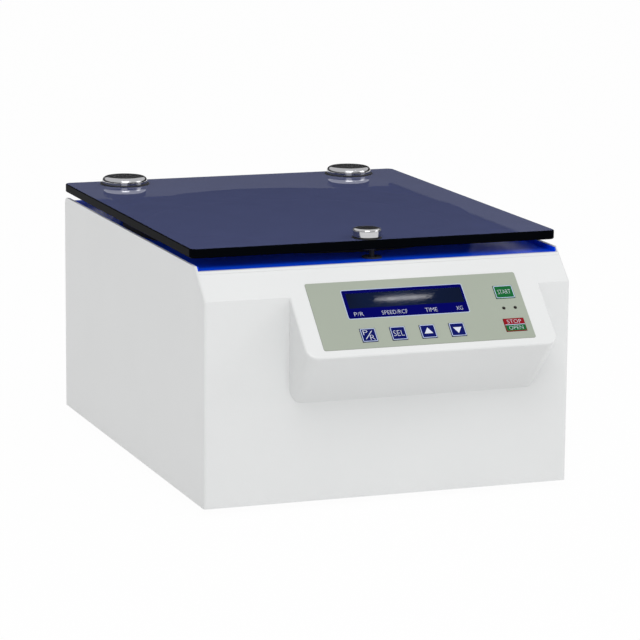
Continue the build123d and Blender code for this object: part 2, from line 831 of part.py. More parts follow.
# Turned grip at the front edge, with its stud through the lid
with BuildPart() as lid_knob:
    with BuildSketch(Plane.XZ.offset(-knob_y)):
        with BuildLine():
            Polyline((knob_x, collar_z + rest_gap), (knob_x + knob_stud_radius, collar_z + rest_gap),
                     (knob_x + knob_stud_radius, knob_z), (knob_x + knob_radius - knob_undercut, knob_z),
                     (knob_x + knob_radius, knob_z + knob_undercut),
                     (knob_x + knob_radius, knob_z + knob_height),
                     (knob_x, knob_z + knob_height), close=True)
        make_face()
    revolve(axis=Axis((knob_x, knob_y, 0), (0, 0, 1)))
    fillet(lid_knob.edges().filter_by(GeomType.CIRCLE).group_by(Axis.Z)[-1], radius=knob_round)

with BuildPart() as knob_washer:
    with BuildSketch(Plane.XY.offset(lid_top_z)):
        with Locations((knob_x, knob_y)):
            Circle(knob_radius + washer_rim)
            Circle(knob_stud_radius + hole_gap, mode=Mode.SUBTRACT)
    extrude(amount=knob_washer_height)

# Plate under the lid that takes the knob's stud and carries the striker
with BuildPart() as striker_plate:
    with BuildSketch(Plane.XY.offset(collar_z)):
        with Locations(((knob_x + striker_x) / 2, knob_y)):
            SlotOverall(striker_x - knob_x + 2 * collar_radius, 2 * collar_radius)
        with Locations((knob_x, knob_y)):
            Circle(knob_stud_radius + running_gap, mode=Mode.SUBTRACT)
        with Locations((striker_x, knob_y)):
            Circle(striker_radius + running_gap, mode=Mode.SUBTRACT)
    extrude(amount=collar_height)

# Striker with the neck that the lock fork closes on
with BuildPart() as striker:
    with BuildSketch(Plane.XZ.offset(-knob_y)):
        with BuildLine():
            Polyline((striker_x, lid_z - rest_gap), (striker_x + striker_radius, lid_z - rest_gap),
                     (striker_x + striker_radius, neck_z + neck_length),
                     (striker_x + neck_radius, neck_z + neck_length), (striker_x + neck_radius, neck_z),
                     (striker_x + striker_head_radius, neck_z),
                     (striker_x + striker_head_radius, neck_z - striker_head_height),
                     (striker_x + neck_radius, striker_tip_z), (striker_x, striker_tip_z), close=True)
        make_face()
    revolve(axis=Axis((striker_x, knob_y, 0), (0, 0, 1)))

# Bezel in the deck that guides the striker
with BuildPart() as striker_bezel:
    with BuildSketch(Plane.XY.offset(deck_under_z)):
        with Locations((striker_x, knob_y)):
            Circle(bezel_radius)
            Circle(bezel_hole_radius, mode=Mode.SUBTRACT)
    extrude(amount=deck_sheet)
    with BuildSketch(Plane.XY.offset(deck_z)):
        with Locations((striker_x, knob_y)):
            Circle(bezel_radius + bezel_rim)
            Circle(bezel_hole_radius, mode=Mode.SUBTRACT)
    extrude(amount=bezel_height)
    mouth = striker_bezel.edges().filter_by(GeomType.CIRCLE).group_by(Axis.Z)[-1]
    chamfer(mouth, length=bezel_height / 3)

# Channel under the deck for the lock solenoid and the lid switch
with BuildPart() as latch_channel:
    with BuildSketch(Plane.YZ.offset(channel_left_x)):
        with BuildLine():
            Polyline(
                (knob_y - channel_half, deck_under_z), (knob_y - channel_half, channel_z),
                (knob_y + channel_half, channel_z), (knob_y + channel_half, deck_under_z),
                (knob_y + channel_half + channel_flange, deck_under_z),
                (knob_y + channel_half + channel_flange, deck_under_z - channel_sheet),
                (knob_y + channel_half + channel_sheet, deck_under_z - channel_sheet),
                (knob_y + channel_half + channel_sheet, channel_z - channel_sheet),
                (knob_y - channel_half - channel_sheet, channel_z - channel_sheet),
                (knob_y - channel_half - channel_sheet, deck_under_z), close=True,
            )
        make_face()
    extrude(amount=channel_length)

with BuildPart() as lock_solenoid:
    with Locations((solenoid_x, knob_y, channel_z)):
        Box(solenoid_length, 2 * (channel_half - sheet_gap), solenoid_height,
            align=(Align.MIN, Align.CENTER, Align.MIN))
    fillet(lock_solenoid.edges().filter_by(Axis.X).group_by(Axis.Z)[-1], radius=solenoid_round)
    with BuildSketch(Plane.YZ.offset(solenoid_x)):
        with Locations((knob_y, fork_mid_z)):
            Circle(plunger_radius + running_gap)
    extrude(amount=solenoid_length - solenoid_end, mode=Mode.SUBTRACT)

# Plunger of the solenoid with the fork that closes on the striker's neck
with BuildPart() as lock_fork:
    with BuildSketch(Plane.XY.offset(fork_mid_z - fork_sheet / 2)):
        with Locations((fork_tip_x, knob_y)):
            Rectangle(fork_length, fork_width, align=(Align.MIN, Align.CENTER))
            SlotOverall(2 * fork_slot, 2 * (neck_radius + fork_gap), mode=Mode.SUBTRACT)
    extrude(amount=fork_sheet)
    with BuildSketch(Plane.YZ.offset(fork_tip_x + fork_length)):
        with Locations((knob_y, fork_mid_z)):
            Circle(plunger_radius)
    extrude(amount=plunger_length)

# Small switch that the closed lid's striker reaches
with BuildPart() as lid_switch:
    with Locations((lid_switch_x, knob_y, channel_z)):
        Box(lid_switch_length, lid_switch_width, lid_switch_height,
            align=(Align.MAX, Align.CENTER, Align.MIN))
    with Locations((lid_switch_x, knob_y, channel_z + lid_switch_height / 2)):
        Box(striker_x - striker_head_radius - rest_gap - lid_switch_x, lid_switch_width - 2 * lever_sheet,
            lever_sheet, align=(Align.MIN, Align.CENTER, Align.MIN))

# Spun chamber bowl with its rim on the deck and a lip round the spindle's hole
with BuildPart() as bowl:
    with Locations((0, chamber_y, bowl_floor_z - bowl_wall)):
        Cylinder(bowl_radius + bowl_wall, bowl_depth + bowl_wall,
                 align=(Align.CENTER, Align.CENTER, Align.MIN))
    fillet(bowl.edges().filter_by(GeomType.CIRCLE).group_by(Axis.Z)[0], radius=bowl_corner + bowl_wall)
    offset(amount=-bowl_wall, openings=bowl.faces().sort_by(Axis.Z)[-1])
    with BuildSketch(Plane.XY.offset(deck_z)):
        with Locations((0, chamber_y)):
            Circle(bowl_radius + bowl_rim)
            Circle(bowl_radius, mode=Mode.SUBTRACT)
    extrude(amount=bowl_wall)
    with BuildSketch(Plane.XY.offset(bowl_floor_z)):
        with Locations((0, chamber_y)):
            Circle(bowl_hole_radius + bowl_wall)
    extrude(amount=bowl_lip)
    with Locations((0, chamber_y, bowl_floor_z)):
        Cylinder(bowl_hole_radius, 4 * bowl_lip, mode=Mode.SUBTRACT)

# Rubber ring between deck and lid, stepped over the bowl's rim
with BuildPart() as bowl_seal:
    with BuildSketch(Plane.XZ.offset(-chamber_y)):
        with BuildLine():
            Polyline(
                (seal_step_radius, deck_z), (seal_outer_radius, deck_z),
                (seal_outer_radius, seal_top_z - seal_edge),
                (seal_outer_radius - seal_edge, seal_top_z),
                (seal_outer_radius - seal_lip, seal_top_z),
                (seal_outer_radius - seal_lip - seal_edge, seal_top_z - seal_edge),
                (seal_inner_radius + seal_edge, seal_top_z - seal_edge),
                (seal_inner_radius, seal_top_z - 2 * seal_edge),
                (seal_inner_radius, deck_z + bowl_wall), (seal_step_radius, deck_z + bowl_wall),
                close=True,
            )
        make_face()
    revolve(axis=Axis((0, chamber_y, 0), (0, 0, 1)))

# Rubber boot that closes the gap between the motor's cap and the bowl
with BuildPart() as spindle_boot:
    with BuildSketch(Plane.XZ.offset(-chamber_y)):
        with BuildLine():
            Polyline(
                (boot_inner, boss_top_z), (boot_inner + boot_foot, boss_top_z),
                (bowl_hole_radius, bowl_under_z - boot_wall),
                (bowl_hole_radius + boot_foot, bowl_under_z - boot_wall),
                (bowl_hole_radius + boot_foot, bowl_under_z), (bowl_hole_radius - boot_wall, bowl_under_z),
                (boot_inner + boot_foot - boot_wall, boss_top_z + boot_wall),
                (boot_inner, boss_top_z + boot_wall), close=True,
            )
        make_face()
    revolve(axis=Axis((0, chamber_y, 0), (0, 0, 1)))

# Rubber mounts under the motor plate
with BuildPart() as motor_mounts:
    with Locations((0, chamber_y, base_top_z)):
        with GridLocations(mount_distance, mount_distance, 2, 2):
            Cylinder(mount_radius, mount_height, align=(Align.CENTER, Align.CENTER, Align.MIN))

with BuildPart() as motor_plate:
    with BuildSketch(Plane.XY.offset(plate_z)):
        with Locations((0, chamber_y)):
            RectangleRounded(motor_plate_side, motor_plate_side, mount_radius)
            Circle(bearing_radius, mode=Mode.SUBTRACT)
    extrude(amount=motor_plate_sheet)

# Motor can with cooling ribs, bored for the lower bearing and the spindle
with BuildPart() as motor_housing:
    with BuildSketch(Plane.XY.offset(motor_z)):
        with Locations((0, chamber_y)):
            Circle(motor_radius)
            with PolarLocations(motor_radius, motor_rib_count):
                Rectangle(motor_rib, motor_rib)
    extrude(amount=motor_height)
    with Locations((0, chamber_y, motor_z + motor_floor)):
        Cylinder(bearing_radius + running_gap, motor_height,
                 align=(Align.CENTER, Align.CENTER, Align.MIN), mode=Mode.SUBTRACT)

with BuildPart() as motor_cap:
    with Locations((0, chamber_y, cap_plate_z)):
        Cylinder(motor_radius, motor_cap_height, align=(Align.CENTER, Align.CENTER, Align.MIN))
        Cylinder(boss_radius, boss_top_z - cap_plate_z, align=(Align.CENTER, Align.CENTER, Align.MIN))
    with Locations((0, chamber_y, cap_plate_z)):
        Cylinder(bearing_radius + running_gap, bearing_width,
                 align=(Align.CENTER, Align.CENTER, Align.MIN), mode=Mode.SUBTRACT)
        Cylinder(spindle_radius + slide_gap, 4 * boss_radius, mode=Mode.SUBTRACT)

with BuildPart() as spindle_bearings:
    for bearing_z in (motor_z + motor_floor, cap_plate_z):
        with BuildSketch(Plane.XY.offset(bearing_z)):
            with Locations((0, chamber_y)):
                Circle(bearing_radius)
                Circle(spindle_radius + running_gap, mode=Mode.SUBTRACT)
        extrude(amount=bearing_width)

with BuildPart() as speed_sensor:
    with Locations((sensor_x, chamber_y, cap_plate_z + motor_cap_height)):
        Box(sensor_length, sensor_width, sensor_height, align=(Align.CENTER, Align.CENTER, Align.MIN))
    fillet(speed_sensor.edges().filter_by(Axis.Z), radius=sensor_width / 4)

# Spindle: shaft in the bearings, flange under the rotor, nose in its bore and threaded end
with BuildPart() as spindle:
    with BuildSketch(Plane.XZ.offset(-chamber_y)):
        with BuildLine():
            Polyline(
                (0, motor_z + motor_floor + rest_gap), (spindle_radius, motor_z + motor_floor + rest_gap),
                (spindle_radius, armature_z), (armature_radius, armature_z),
                (armature_radius, armature_top_z), (spindle_radius, armature_top_z),
                (spindle_radius, rotor_z - 2 * spindle_flange),
                (spindle_flange_radius, rotor_z - spindle_flange), (spindle_flange_radius, rotor_z),
                (rotor_bore_radius - running_gap, rotor_z),
                (rotor_bore_radius - running_gap, nut_z - spindle_flange),
                (spindle_thread_radius, nut_z - spindle_flange), (spindle_thread_radius, spindle_top_z),
                (0, spindle_top_z), close=True,
            )
        make_face()
    revolve(axis=Axis((0, chamber_y, 0), (0, 0, 1)))

# Fixed-angle rotor: turned body, hollow below, with inclined bores square to its inner cone
with BuildPart() as rotor:
    with BuildSketch(Plane.XZ.offset(-chamber_y)):
        with BuildLine():
            Polyline(*[(radius, rotor_z + height) for radius, height in rotor_section], close=True)
        make_face()
    revolve(axis=Axis((0, chamber_y, 0), (0, 0, 1)))
    rims = rotor.edges().filter_by(GeomType.CIRCLE).group_by(Axis.Z)[-1]
    fillet(rims.sort_by(SortBy.RADIUS)[-1], radius=rotor_rim_round)
    for place in range(rotor_places):
        bearing = radians(360 / rotor_places * place)
        tilt = radians(tube_angle)
        mouth = Plane(
            origin=(
                tube_mouth_radius * cos(bearing),
                chamber_y + tube_mouth_radius * sin(bearing),
                rotor_z + tube_mouth_height,
            ),
            z_dir=(-cos(bearing) * sin(tilt), -sin(bearing) * sin(tilt), cos(tilt)),
        )
        with BuildSketch(mouth.offset(-tube_bore_depth)):
            Circle(tube_bore_radius)
        extrude(amount=tube_bore_depth + tube_bore_radius, mode=Mode.SUBTRACT)

# Fluted nut that holds the rotor down
with BuildPart() as rotor_nut:
    with Locations((0, chamber_y, nut_z)):
        Cylinder(nut_radius, nut_height, align=(Align.CENTER, Align.CENTER, Align.MIN))
    fillet(rotor_nut.edges().filter_by(GeomType.CIRCLE).group_by(Axis.Z)[-1], radius=nut_round)
    with BuildSketch(Plane.XY.offset(nut_z + nut_collar)):
        with Locations((0, chamber_y)):
            with PolarLocations(nut_radius + nut_flute_radius / 2, nut_flutes):
                Circle(nut_flute_radius)
    extrude(amount=nut_height, mode=Mode.SUBTRACT)
    with Locations((0, chamber_y, nut_z)):
        Cylinder(spindle_thread_radius + running_gap, nut_height - nut_roof,
                 align=(Align.CENTER, Align.CENTER, Align.MIN), mode=Mode.SUBTRACT)

# Overlay of the control panel with its windows
with BuildPart() as panel_overlay:
    with BuildSketch(panel.offset(-overlay_recess)):
        RectangleRounded(overlay_width, overlay_height, overlay_round)
        with Locations((window_x, window_y)):
            Rectangle(window_width, window_height, mode=Mode.SUBTRACT)
        for _, key_x, key_y, width, height in keys:
            with Locations((key_x, key_y)):
                Rectangle(width + 2 * slide_gap, height + 2 * slide_gap, mode=Mode.SUBTRACT)
        with Locations(*led_places):
            Circle(led_radius + slide_gap, mode=Mode.SUBTRACT)
    extrude(amount=overlay_thickness)

with BuildPart() as display_window:
    with BuildSketch(panel.offset(-overlay_recess)):
        with Locations((window_x, window_y)):
            Rectangle(window_width - 2 * running_gap, window_height - 2 * running_gap)
    extrude(amount=overlay_thickness)

with BuildPart() as display_module:
    with BuildSketch(panel.offset(-board_depth)):
        with Locations((window_x, window_y)):
            Rectangle(window_width + module_rim, window_height + module_rim)
    extrude(amount=board_depth - shell_wall - running_gap)

# Key board on its bosses, with one push switch under each key
with BuildPart() as key_board:
    with BuildSketch(panel.offset(-board_depth)):
        RectangleRounded(board_width, board_height, board_margin)
    extrude(amount=-board_sheet)
    with BuildSketch(panel.offset(-board_depth)):
        for _, key_x, key_y, _, _ in keys:
            with Locations((key_x, key_y)):
                Rectangle(push_switch_side, push_switch_side)
    extrude(amount=push_switch_height)
    with BuildSketch(panel.offset(-board_depth)):
        for _, key_x, key_y, _, _ in keys:
            with Locations((key_x, key_y)):
                Circle(push_switch_side / 4)
    extrude(amount=board_depth - key_under - key_travel - running_gap)

with BuildPart() as indicator_leds:
    with BuildSketch(panel.offset(-board_depth)):
        with Locations(*led_places):
            Circle(led_radius)
    extrude(amount=board_depth + led_rise)
    domes = indicator_leds.edges().filter_by(lambda e: panel.to_local_coords(e @ 0).Z > 0)
    fillet(domes.filter_by(GeomType.CIRCLE), radius=led_round)


def panel_key(key_x, key_y, width, height):
    """Key cap in its window, with a flange behind the console's face that holds it in."""
    with BuildPart() as key:
        with BuildSketch(panel.offset(key_top)):
            with Locations((key_x, key_y)):
                RectangleRounded(width, height, key_round)
        extrude(amount=-(key_top + shell_wall + slide_gap))
        crown = key.edges().filter_by(lambda e: panel.to_local_coords(e @ 0.5).Z > key_top - running_gap)
        fillet(crown, radius=key_top_round)
        with BuildSketch(panel.offset(-shell_wall - slide_gap)):
            with Locations((key_x, key_y)):
                Rectangle(width + 2 * key_flange, height + 2 * key_flange)
        extrude(amount=-key_flange_thickness)
    return key


# Boards on pillars over the base plate, with their larger components
with BuildPart() as board_pillars:
    for board_x, board_y, length, width in circuit_boards.values():
        with Locations((board_x, board_y, base_top_z)):
            with GridLocations(length - 4 * pillar_radius, width - 4 * pillar_radius, 2, 2):
                Cylinder(pillar_radius, pillar_height, align=(Align.CENTER, Align.CENTER, Align.MIN))


def circuit_board(board_x, board_y, length, width, components):
    """Circuit board with blocks for its components: place across, place along, sides and height."""
    with BuildPart() as board:
        with Locations((board_x, board_y, base_top_z + pillar_height)):
            Box(length, width, board_sheet, align=(Align.CENTER, Align.CENTER, Align.MIN))
        for across, along, side_x, side_y, height in components:
            with Locations((board_x + across, board_y + along, base_top_z + pillar_height + board_sheet)):
                Box(side_x, side_y, height, align=(Align.CENTER, Align.CENTER, Align.MIN))
    return board


control_board = circuit_board(*circuit_boards["control_board"], control_components)
drive_board = circuit_board(*circuit_boards["drive_board"], drive_components)

# Mains transformer: iron stack with the winding through it
with BuildPart() as transformer:
    with Locations((transformer_x, rear_row_y, base_top_z)):
        Box(transformer_length, transformer_width, transformer_height,
            align=(Align.CENTER, Align.CENTER, Align.MIN))
    with Locations((transformer_x, rear_row_y, base_top_z + transformer_height / 2)):
        Box(winding_length, transformer_width + 2 * winding_reach, winding_height)

# Finned heat sink of the motor drive
with BuildPart() as heat_sink:
    with Locations((sink_x, rear_row_y, base_top_z)):
        Box(sink_length, sink_width, sink_base, align=(Align.CENTER, Align.CENTER, Align.MIN))
    with Locations((sink_x, rear_row_y, base_top_z + sink_base)):
        with GridLocations(sink_length / (sink_fins + 0.5), 0, sink_fins, 1):
            Box(sink_fin, sink_width, sink_height, align=(Align.CENTER, Align.CENTER, Align.MIN))

# Appliance inlet: flange, body, moulded cavity and three contact blades
with BuildPart() as power_inlet:
    with BuildSketch(back_face):
        with Locations((inlet_x, inlet_height)):
            RectangleRounded(inlet_flange_width, inlet_flange_height, inlet_round)
    extrude(amount=-inlet_flange)
    with BuildSketch(back_face):
        with Locations((inlet_x, inlet_height)):
            Rectangle(inlet_body_width, inlet_body_height)
    extrude(amount=inlet_body_depth)
    with BuildSketch(back_face.offset(-inlet_flange)) as cavity:
        with Locations((inlet_x, inlet_height)):
            Rectangle(inlet_cavity_width, inlet_cavity_height)
        chamfer(cavity.vertices().group_by(Axis.Y)[-1], length=inlet_chamfer)
    extrude(amount=inlet_cavity_depth, mode=Mode.SUBTRACT)
    with BuildSketch(back_face.offset(inlet_cavity_depth - inlet_flange)):
        for across, up in contact_places:
            with Locations((inlet_x + across, inlet_height + up)):
                Rectangle(contact_thickness, contact_height)
    extrude(amount=-contact_length)

# Fuse holder with a slotted cap
with BuildPart() as fuse_holder:
    with BuildSketch(back_face):
        with Locations((fuse_x, inlet_height)):
            Circle(fuse_cap_radius)
    extrude(amount=-fuse_reach)
    chamfer(fuse_holder.edges().filter_by(GeomType.CIRCLE).group_by(Axis.Y)[-1], length=fuse_slot / 2)
    with BuildSketch(back_face):
        with Locations((fuse_x, inlet_height)):
            Circle(fuse_body_radius)
    extrude(amount=fuse_length)
    with BuildSketch(back_face.offset(-fuse_reach)):
        with Locations((fuse_x, inlet_height)):
            Rectangle(fuse_slot, 2 * fuse_body_radius)
    extrude(amount=fuse_slot, mode=Mode.SUBTRACT)

# Frame of the power switch and the rocker that tips in it
with BuildPart() as switch_frame:
    with BuildSketch(back_face):
        with Locations((switch_x, inlet_height)):
            RectangleRounded(switch_flange_width, switch_flange_height, switch_round)
    extrude(amount=-switch_flange)
    with BuildSketch(back_face):
        with Locations((switch_x, inlet_height)):
            Rectangle(switch_body_width, switch_body_height)
    extrude(amount=switch_body_depth)
    with BuildSketch(back_face.offset(-switch_flange)):
        with Locations((switch_x, inlet_height)):
            Rectangle(pocket_width, pocket_height)
    extrude(amount=switch_flange + pocket_depth, mode=Mode.SUBTRACT)
    with BuildSketch(Plane.YZ.offset(switch_x)):
        with Locations((rocker_y, inlet_height)):
            Circle(rocker_pin_radius + running_gap)
    extrude(amount=switch_body_width, both=True, mode=Mode.SUBTRACT)

with BuildPart() as power_rocker:
    tilt = radians(rocker_tilt)
    with BuildSketch(Plane((switch_x, rocker_y, inlet_height), (0, cos(tilt), sin(tilt)), (1, 0, 0))):
        with BuildLine():
            Polyline(
                (-rocker_root, -rocker_root), (-rocker_root, rocker_root),
                (rocker_valley / 2, rocker_half),
                (rocker_valley + rocker_half * tan(tilt), rocker_half), (rocker_valley, 0),
                (rocker_valley + rocker_half * tan(tilt), -rocker_half),
                (rocker_valley / 2, -rocker_half), close=True,
            )
        make_face()
    extrude(amount=rocker_width / 2, both=True)
    with BuildSketch(Plane.YZ.offset(switch_x)):
        with Locations((rocker_y, inlet_height)):
            Circle(rocker_pin_radius)
    extrude(amount=switch_body_width / 2, both=True)

# Fan behind the rear panel: frame with struts and shaft, bladed rotor, guard and screws
with BuildPart() as fan_frame:
    with BuildSketch(rear_face):
        with Locations((fan_x, fan_height)):
            RectangleRounded(fan_side, fan_side, fan_corner)
            Circle(fan_bore_radius, mode=Mode.SUBTRACT)
        with Locations(*fan_screw_places):
            Circle(fan_screw_radius + running_gap, mode=Mode.SUBTRACT)
    extrude(amount=fan_depth)
    with BuildSketch(rear_face.offset(fan_depth)):
        with Locations((fan_x, fan_height)):
            Circle(fan_hub_radius)
            with PolarLocations(fan_bore_radius / 2, fan_strut_count):
                Rectangle(fan_bore_radius + fan_strut, fan_strut)
    extrude(amount=-fan_strut)
    with BuildSketch(rear_face.offset(fan_depth)):
        with Locations((fan_x, fan_height)):
            Circle(fan_shaft_radius)
    extrude(amount=-fan_hub_length)

with BuildPart() as fan_rotor:
    with BuildSketch(rear_face.offset(fan_depth - fan_strut - rest_gap)):
        with Locations((fan_x, fan_height)):
            Circle(fan_hub_radius)
    extrude(amount=-fan_hub_length)
    blade_middle = (fan_hub_radius + fan_blade_tip) / 2
    blade_y = shell_rear_y - fan_depth + fan_strut + fan_hub_length / 2
    pitch = radians(fan_blade_pitch)
    for blade in range(fan_blades):
        turn = radians(360 / fan_blades * blade)
        blade_plane = Plane(
            (fan_x + blade_middle * cos(turn), blade_y, fan_height + blade_middle * sin(turn)),
            x_dir=(cos(turn), 0, sin(turn)),
            z_dir=(-sin(turn) * cos(pitch), sin(pitch), cos(turn) * cos(pitch)),
        )
        with BuildSketch(blade_plane):
            Rectangle(fan_blade_tip - fan_hub_radius + fan_strut, fan_blade_chord)
        extrude(amount=fan_blade_sheet / 2, both=True)
    with BuildSketch(rear_face.offset(fan_depth)):
        with Locations((fan_x, fan_height)):
            Circle(fan_shaft_radius + running_gap)
    extrude(amount=-fan_hub_length - rest_gap, mode=Mode.SUBTRACT)

with BuildPart() as fan_guard:
    with BuildSketch(back_face):
        with Locations((fan_x, fan_height)):
            for ring in range(guard_rings, 0, -1):
                Circle(guard_ring_pitch * ring)
                Circle(guard_ring_pitch * ring - guard_wire, mode=Mode.SUBTRACT)
            for turn in (45, 135):
                Rectangle(fan_screw_pitch * sqrt(2), guard_wire, rotation=turn)
        with Locations(*fan_screw_places):
            Circle(guard_ear_radius)
            Circle(fan_screw_radius + hole_gap, mode=Mode.SUBTRACT)
    extrude(amount=-guard_wire)

with BuildPart() as fan_screws:
    for place_x, place_z in fan_screw_places:
        with Locations(Location((place_x, rear_y + guard_wire, place_z), (-90, 0, 0))):
            Cylinder(2 * fan_screw_radius, screw_head, align=(Align.CENTER, Align.CENTER, Align.MIN))
            Cylinder(fan_screw_radius, fan_screw_length,
                     align=(Align.CENTER, Align.CENTER, Align.MAX))
    heads = fan_screws.edges().filter_by(GeomType.CIRCLE).group_by(Axis.Y)[-1]
    fillet(heads, radius=screw_head / 3)

# Rubber feet with their screws recessed from below
with BuildPart() as feet:
    with Locations(*foot_places):
        Cone(foot_bottom_radius, foot_top_radius, base_z, align=(Align.CENTER, Align.CENTER, Align.MIN))
    with Locations(*foot_places):
        Cylinder(foot_recess_radius, foot_recess_depth, align=(Align.CENTER, Align.CENTER, Align.MIN),
                 mode=Mode.SUBTRACT)
        Cylinder(foot_screw_radius + running_gap, base_z,
                 align=(Align.CENTER, Align.CENTER, Align.MIN), mode=Mode.SUBTRACT)

with BuildPart() as foot_screws:
    with Locations(*[(x, y, foot_recess_depth) for x, y in foot_places]):
        Cylinder(foot_screw_head_radius, foot_screw_head_height,
                 align=(Align.CENTER, Align.CENTER, Align.MAX))
        Cylinder(foot_screw_radius, base_top_z - foot_recess_depth - rest_gap,
                 align=(Align.CENTER, Align.CENTER, Align.MIN))

pieces = {
    "housing_shell": housing_shell,
    "deck_pan": deck_pan,
    "base_plate": base_plate,
    "rear_panel": rear_panel,
    "rear_screws": rear_screws,
    "hinge_rail": hinge_rail,
    "hinge_brackets": hinge_brackets,
    "hinge_pins": hinge_pins,
    "hinge_arms": hinge_arms,
    "hinge_gaskets": hinge_gaskets,
    "hinge_caps": hinge_caps,
    "hinge_screws": hinge_screws,
    "lid_plate": lid_plate,
    "lid_knob": lid_knob,
    "knob_washer": knob_washer,
    "striker_plate": striker_plate,
    "striker": striker,
    "striker_bezel": striker_bezel,
    "latch_channel": latch_channel,
    "lock_solenoid": lock_solenoid,
    "lock_fork": lock_fork,
    "lid_switch": lid_switch,
    "bowl": bowl,
    "bowl_seal": bowl_seal,
    "spindle_boot": spindle_boot,
    "motor_mounts": motor_mounts,
    "motor_plate": motor_plate,
    "motor_housing": motor_housing,
    "motor_cap": motor_cap,
    "spindle_bearings": spindle_bearings,
    "speed_sensor": speed_sensor,
    "spindle": spindle,
    "rotor": rotor,
    "rotor_nut": rotor_nut,
    "panel_overlay": panel_overlay,
    "display_window": display_window,
    "display_module": display_module,
    "key_board": key_board,
    "indicator_leds": indicator_leds,
    "board_pillars": board_pillars,
    "control_board": control_board,
    "drive_board": drive_board,
    "transformer": transformer,
    "heat_sink": heat_sink,
    "power_inlet": power_inlet,
    "fuse_holder": fuse_holder,
    "switch_frame": switch_frame,
    "power_rocker": power_rocker,
    "fan_frame": fan_frame,
    "fan_rotor": fan_rotor,
    "fan_guard": fan_guard,
    "fan_screws": fan_screws,
    "feet": feet,
    "foot_screws": foot_screws,
}
pieces.update({name: panel_key(*sizes) for name, *sizes in keys})

for name, piece in pieces.items():
    piece.part.label = name
    export_step(piece.part, f"parts/{name}.step")
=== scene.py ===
"""Looks of a bench centrifuge with a flat tinted lid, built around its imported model.

Lengths are in metres. Only the print on the control panel is drawn in millimetres, in the plane
of the console's face, and a matrix takes it to its place.
"""

from __future__ import annotations

import logging
import math
from collections.abc import Callable, Iterable, Iterator
from contextlib import contextmanager
from dataclasses import dataclass, field, replace
from enum import Enum

import bmesh
import bpy
from mathutils import Euler, Matrix, Vector

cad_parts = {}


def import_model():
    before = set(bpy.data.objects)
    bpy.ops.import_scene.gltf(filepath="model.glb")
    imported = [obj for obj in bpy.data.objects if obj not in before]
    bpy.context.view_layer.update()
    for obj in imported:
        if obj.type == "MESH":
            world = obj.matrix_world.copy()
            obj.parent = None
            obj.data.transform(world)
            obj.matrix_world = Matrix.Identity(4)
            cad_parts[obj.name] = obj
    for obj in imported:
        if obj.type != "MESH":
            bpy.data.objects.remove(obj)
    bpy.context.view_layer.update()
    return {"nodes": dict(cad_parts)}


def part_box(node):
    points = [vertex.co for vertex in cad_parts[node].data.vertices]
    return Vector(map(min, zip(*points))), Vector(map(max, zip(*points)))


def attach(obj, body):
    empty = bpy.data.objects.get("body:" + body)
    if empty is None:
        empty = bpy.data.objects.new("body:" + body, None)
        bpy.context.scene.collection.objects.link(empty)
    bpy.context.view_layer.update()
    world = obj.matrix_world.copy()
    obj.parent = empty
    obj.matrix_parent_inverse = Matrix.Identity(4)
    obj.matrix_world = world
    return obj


log = logging.getLogger("bench_centrifuge")

MM = 0.001
CLOSE = 1e-4
FLAT = 0.99
RAMP_STOPS = (0.3, 0.7)
LETTER_STEPS = 3
LETTER_THINNING = -0.02
Colour = tuple[float, float, float]
Point = tuple[float, float, float]
Piece = bpy.types.Object
Socket = bpy.types.NodeSocket


class Grain(Enum):
    """Kinds of fine surface pattern."""

    MOULDED = "moulded"
    PAINTED = "painted"
    BRUSHED = "brushed"
    RUBBER = "rubber"
    PRINTED = "printed"
    CIRCUIT = "circuit"


class Pick(Enum):
    """What is selected in edit mode."""

    EDGE = "EDGE"
    FACE = "FACE"


class Side(Enum):
    """Which way an arrow points, as a sign along the panel's height."""

    UP = 1
    DOWN = -1


